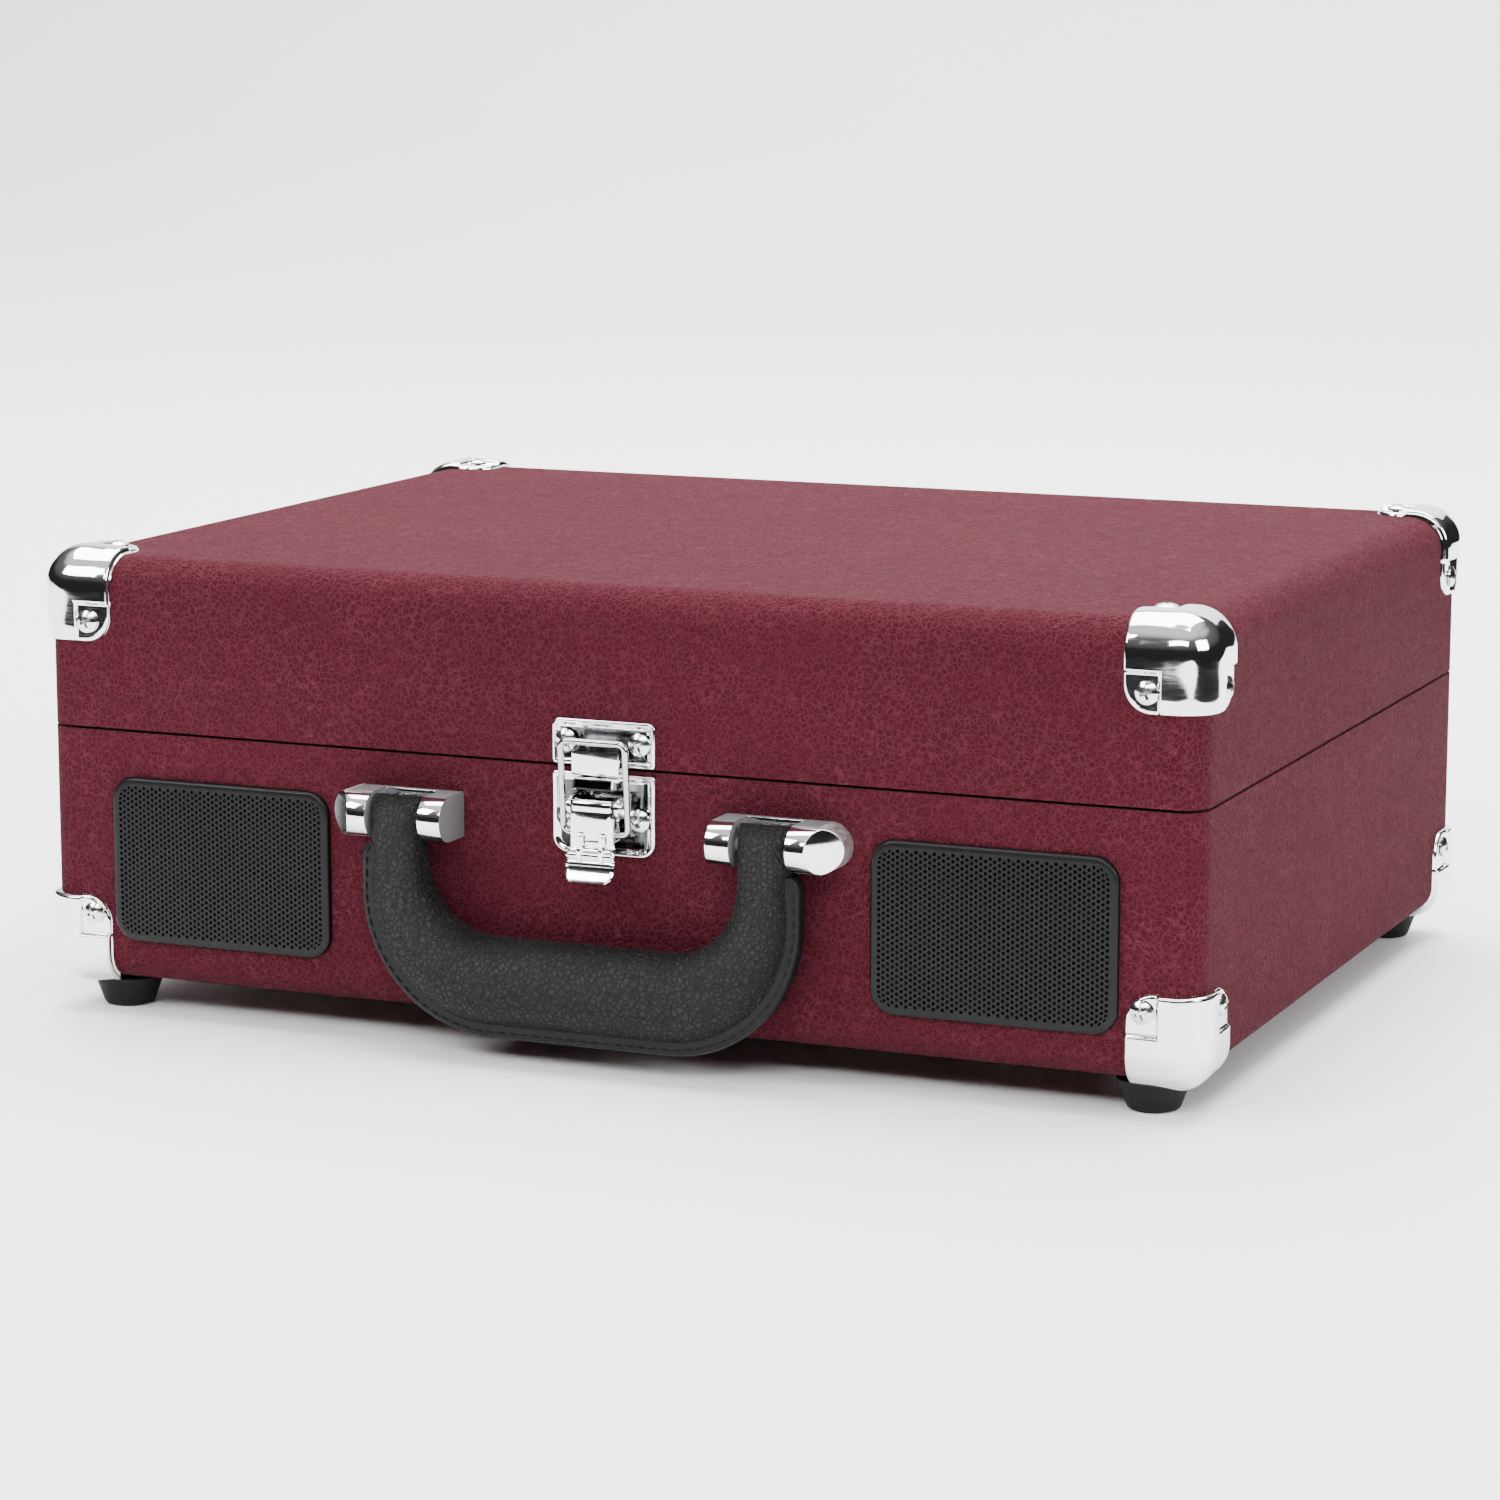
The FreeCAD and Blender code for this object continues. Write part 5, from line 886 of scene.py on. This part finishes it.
def u_stations():
    """(inner point, outer point, has welt, half thickness scale) along the U, left end to right end."""
    out = []
    hi_, ho = 48.6, 63.9
    for k in range(8):
        a = math.radians(86 - k * 86 / 8)
        out.append(((-hi_, HPZ + 6.1 * math.sin(a)), (-ho, HPZ + 6.1 * math.sin(a)), 0.0, math.cos(a)))
    for z in (58.5, 56.5, 54.5, 53.0, 52.2):
        out.append(((-hi_, z), (-ho, z), 0.0, 1.0))
    for k in range(1, 5):
        z = 52.0 - k * 1.1
        s = k / 4
        out.append(((-hi_, z + 0.1), (-ho - (67.3 - ho) * math.sin(s * math.pi / 2), z - 0.6 * s), math.sin(s * math.pi / 2), 1.0))
    za, zb = 47.2, 37.1
    ra_in, ra_out = 21.2, 40.0
    out.append(((-48.5, 47.3), (-67.3, 44.5), 1.0, 1.0))
    out.append(((-48.5, 47.2), (-67.3, 40.5), 1.0, 1.0))
    n = 22
    for k in range(n + 1):
        a = math.radians(180 + 90 * k / n)
        ip = (-48.5 + ra_in + ra_in * math.cos(a), za + ra_in * math.sin(a))
        op = (-67.3 + ra_out + ra_out * math.cos(a), zb + ra_out * math.sin(a))
        out.append((ip, op, 1.0, 1.0))
    for k in range(1, 9):
        f = k / 9
        xi, xo = -27.3 + f * 27.3, -27.3 + f * 27.3
        out.append(((xi, 26.0), (xo, -2.9), 1.0, 1.0))
    left = out
    right = [((-i[0], i[1]), (-o[0], o[1]), w, t) for i, o, w, t in reversed(left)]
    return left + [((0.0, 26.0), (0.0, -2.9), 1.0, 1.0)] + right


def handle():
    st = u_stations()
    mid = len(st) // 2
    body_v, body_f, welt_v, welt_f = [], [], [], []
    NB = 44
    for (ip, op, wl, ts) in st:
        ix, iz = ip
        ox, oz = op
        L = math.hypot(ox - ix, oz - iz)
        nx, nz = (ox - ix) / L, (oz - iz) / L
        strip = 3.6 * wl
        Lb = L - strip
        # thickness grows from the pivots down to the padded bar
        drop = smoothstep(58, 12, (iz + oz) / 2)
        half_t = (6.2 + (8.5 - 6.2) * drop) * ts
        for k in range(NB):
            a = 2 * math.pi * k / NB
            c, s = math.cos(a), math.sin(a)
            e = 0.72
            u = math.copysign(abs(c) ** e, c)
            v = math.copysign(abs(s) ** e, s)
            # flatter towards the welt, fuller on the inside
            r = Lb / 2 + u * Lb / 2
            tt = v * half_t * (1.0 if u < 0.2 else 1.0 - 0.30 * wl * ((u - 0.2) / 0.8) ** 2)
            body_v.append((ix + nx * r, HPY + tt, iz + nz * r))
    n = len(st)
    for i in range(n - 1):
        for k in range(NB):
            a, b = i * NB + k, i * NB + (k + 1) % NB
            body_f.append((a, b, b + NB, a + NB))
    body_f.append(tuple(reversed(range(NB))))
    body_f.append(tuple((n - 1) * NB + k for k in range(NB)))
    body = mesh_object("handle_pad", body_v, body_f, M["handle_leather"], angle=70)
    weld(body, 1e-7)
    sub = body.modifiers.new("Subdivision", "SUBSURF")
    sub.levels = sub.render_levels = 1
    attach(body, "handle")
    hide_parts("handle_grip")
    # welt: a flat strip round the outside of the grip, with a bead edge
    run = [s for s in st if s[2] > 0.2]
    NW = 16
    for (ip, op, wl, ts) in run:
        ix, iz = ip
        ox, oz = op
        L = math.hypot(ox - ix, oz - iz)
        nx, nz = (ox - ix) / L, (oz - iz) / L
        ht = 2.9
        pts = []
        a0 = L - 5.2
        a1 = L
        for k in range(NW):
            t = k / (NW - 1)
            ang = math.pi * (t - 0.5)
            pts.append((a1 - 1.3 + 1.3 * math.cos(ang), ht * math.copysign(abs(math.sin(ang)) ** 0.75, math.sin(ang))))
        pts = [(a0, -ht)] + pts + [(a0, ht)]
        for r, y in pts:
            welt_v.append((ix + nx * r, HPY + y, iz + nz * r))
    m = NW + 2
    for i in range(len(run) - 1):
        for k in range(m):
            a, b = i * m + k, i * m + (k + 1) % m
            welt_f.append((a, b, b + m, a + m))
    welt_f.append(tuple(reversed(range(m))))
    welt_f.append(tuple((len(run) - 1) * m + k for k in range(m)))
    welt = mesh_object("handle_edge_strip", welt_v, welt_f, M["handle_welt"], angle=50)
    weld(welt, 1e-7)
    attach(welt, "handle")
    # stitches in the groove beside the strip, front and back
    pts = []
    for (ip, op, wl, ts) in run:
        L = math.hypot(op[0] - ip[0], op[1] - ip[1])
        nx, nz = (op[0] - ip[0]) / L, (op[1] - ip[1]) / L
        pts.append((ip[0] + nx * (L - 1.9), ip[1] + nz * (L - 1.9)))
    path = [pts[0]]
    for p in pts[1:]:
        if math.hypot(p[0] - path[-1][0], p[1] - path[-1][1]) > 0.05:
            path.append(p)
    sv, sf = [], []
    length, where = 0.0, []
    for a, b in zip(path, path[1:]):
        length += math.hypot(b[0] - a[0], b[1] - a[1])

    def at(d):
        for a, b in zip(path, path[1:]):
            l = math.hypot(b[0] - a[0], b[1] - a[1])
            if d <= l:
                f = d / l
                return (a[0] + (b[0] - a[0]) * f, a[1] + (b[1] - a[1]) * f), ((b[0] - a[0]) / l, (b[1] - a[1]) / l)
            d -= l
        return path[-1], (1.0, 0.0)

    pitch, stitch, rad = 3.6, 2.7, 0.34
    count = int(length / pitch) - 1
    for c in range(count):
        d0 = 1.2 + c * pitch
        for yy in (-2.95, 2.95):
            base = len(sv)
            for i in range(7):
                f = i / 6
                (x, z), (tx, tz) = at(d0 + f * stitch)
                bow = 0.22 * math.sin(math.pi * f) - 0.10
                rr = rad * (0.35 + 0.65 * math.sin(math.pi * min(1, max(0, 0.12 + f * 0.76))))
                for k in range(8):
                    a = 2 * math.pi * k / 8
                    off = rr * math.cos(a)
                    sv.append((x - tz * off, HPY + math.copysign(abs(yy) + bow + rr * math.sin(a), yy), z + tx * off))
            for i in range(6):
                for k in range(8):
                    p, q = base + i * 8 + k, base + i * 8 + (k + 1) % 8
                    sf.append((p, q, q + 8, p + 8))
            sf.append(tuple(base + k for k in reversed(range(8))))
            sf.append(tuple(base + 48 + k for k in range(8)))
    th = mesh_object("handle_stitches", sv, sf, M["thread"], angle=60)
    weld(th, 1e-8)
    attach(th, "handle")


handle()

# ---------------------------------------------------------------- floor, light and camera


def stage():
    me = bpy.data.meshes.new("floor")
    prof = [(-0.66, 0.0), (2.2, 0.0), (2.6, 0.03), (3.0, 0.12), (3.35, 0.30), (3.6, 0.58), (3.72, 0.95), (3.75, 1.4), (3.75, 6.0)]
    vs, fs = [], []
    for y, z in prof:
        vs += [(-4.5, y, z - 0.0002), (0.66, y, z - 0.0002)]
    for i in range(len(prof) - 1):
        a = 2 * i
        fs.append((a, a + 1, a + 3, a + 2))
    me.from_pydata(vs, [], fs)
    ob = bpy.data.objects.new("floor", me)
    bpy.context.collection.objects.link(ob)
    me.polygons.foreach_set("use_smooth", [True] * len(me.polygons))
    m = Mat("floor").set(Base_Color=(0.93, 0.93, 0.93), Roughness=0.6, Specular_IOR_Level=0.15)
    me.materials.append(m.m)


def surround():
    """Pale sweep all round the table, so that every side is seen against the same plain ground; it adds no light and no reflection."""
    prof = [(0.0, 0.0), (3.0, 0.0), (4.5, 0.0), (5.0, 0.04), (5.6, 0.22), (6.1, 0.6), (6.4, 1.2), (6.5, 2.0), (6.5, 8.0)]
    n = 72
    vs, fs = [(0.0, 0.0, -0.0012)], []
    for r, z in prof[1:]:
        vs += [(r * math.cos(2 * math.pi * k / n), r * math.sin(2 * math.pi * k / n), z - 0.0012) for k in range(n)]
    for k in range(n):
        fs.append((0, 1 + k, 1 + (k + 1) % n))
    for i in range(len(prof) - 2):
        for k in range(n):
            a, b = 1 + i * n + k, 1 + i * n + (k + 1) % n
            fs.append((a, a + n, b + n, b))
    me = bpy.data.meshes.new("surround")
    me.from_pydata(vs, [], fs)
    me.polygons.foreach_set("use_smooth", [True] * len(me.polygons))
    ob = bpy.data.objects.new("surround", me)
    bpy.context.collection.objects.link(ob)
    m = Mat("surround").set(Base_Color=(0.93, 0.93, 0.93), Roughness=0.6, Specular_IOR_Level=0.15, Emission_Color=(1.0, 1.0, 1.0))
    far = m.node("ShaderNodeVectorMath", operation="LENGTH")
    m.link(m.coord(), far.inputs[0])
    glow = m.node("ShaderNodeMapRange")
    m.link(far.outputs["Value"], glow.inputs["Value"])
    for k, v in (("From Min", 0.7), ("From Max", 3.2), ("To Min", 0.0), ("To Max", 0.55)):
        glow.inputs[k].default_value = v
    me.materials.append(m.out(Emission_Strength=glow.outputs["Result"]))
    ob.visible_diffuse = ob.visible_glossy = ob.visible_shadow = ob.visible_transmission = False


def area(name, at, target, size, power, size_y=None, color=(1, 1, 1)):
    li = bpy.data.lights.new(name, "AREA")
    li.shape = "RECTANGLE"
    li.size, li.size_y = size, size_y or size
    li.energy = power
    li.color = color
    ob = bpy.data.objects.new(name, li)
    ob.location = at
    d = Vector(target) - Vector(at)
    ob.rotation_euler = d.to_track_quat("-Z", "Y").to_euler()
    bpy.context.collection.objects.link(ob)
    return ob


stage()
surround()
area("key_left", (-1.3, -1.5, 1.5), (0, 0, 0.08), 0.8, 34, 0.9)
area("fill_right", (2.0, -0.6, 1.0), (0, 0, 0.08), 0.8, 34, 0.9)
area("top", (-0.2, 0.5, 2.0), (-0.2, 0, 0.0), 2.4, 190, 2.0)
area("front_strip", (0.35, -1.75, 1.25), (0, 0, 0.06), 1.8, 34, 0.45)
area("back_wall", (-0.8, 1.6, 2.4), (-0.9, 3.6, 0.9), 3.2, 170, 1.5)

world = bpy.data.worlds.new("studio")
bpy.context.scene.world = world
world.use_nodes = True
bg = world.node_tree.nodes["Background"]
wt = world.node_tree
wc = wt.nodes.new("ShaderNodeTexCoord")
ws = wt.nodes.new("ShaderNodeSeparateXYZ")
wt.links.new(wc.outputs["Generated"], ws.inputs[0])
wm = wt.nodes.new("ShaderNodeMapRange")
wm.inputs["From Min"].default_value = -1.0
wm.inputs["From Max"].default_value = 1.0
wt.links.new(ws.outputs["Z"], wm.inputs["Value"])
wr = wt.nodes.new("ShaderNodeValToRGB")
el = wr.color_ramp.elements
stops = [(0.0, 0.025), (0.48, 0.025), (0.60, 0.03), (0.68, 0.12), (0.82, 0.20), (0.90, 1.2), (1.0, 1.2)]
while len(el) < len(stops):
    el.new(0.5)
for e, (p, g) in zip(el, stops):
    e.position = p
    e.color = (g, g, g, 1.0)
wt.links.new(wm.outputs["Result"], wr.inputs["Fac"])
wt.links.new(wr.outputs["Color"], bg.inputs["Color"])
bg.inputs["Strength"].default_value = 0.85

cam_data = bpy.data.cameras.new("camera")
cam = bpy.data.objects.new("camera", cam_data)
bpy.context.collection.objects.link(cam)
cam_data.sensor_fit = "HORIZONTAL"
cam_data.sensor_width = 36.0
cam_data.lens = 4461.3 / 1500 * 36
cam_data.shift_x = -39.4 / 1500
cam_data.clip_start = 0.05
cam_data.clip_end = 60
yaw, pitch, roll = math.radians(22.598), math.radians(10.062), math.radians(0.117)
back = Vector((math.sin(yaw) * math.cos(pitch), -math.cos(yaw) * math.cos(pitch), math.sin(pitch)))
right = (-back).cross(Vector((0, 0, 1))).normalized()
up = right.cross(-back)
c, s = math.cos(roll), math.sin(roll)
r2, u2 = right * c + up * s, up * c - right * s
rot = Matrix((r2, u2, back)).transposed()
cam.matrix_world = Matrix.Translation(Vector(W(521.4, -1244.6, 297.4))) @ rot.to_4x4()
bpy.context.scene.camera = cam
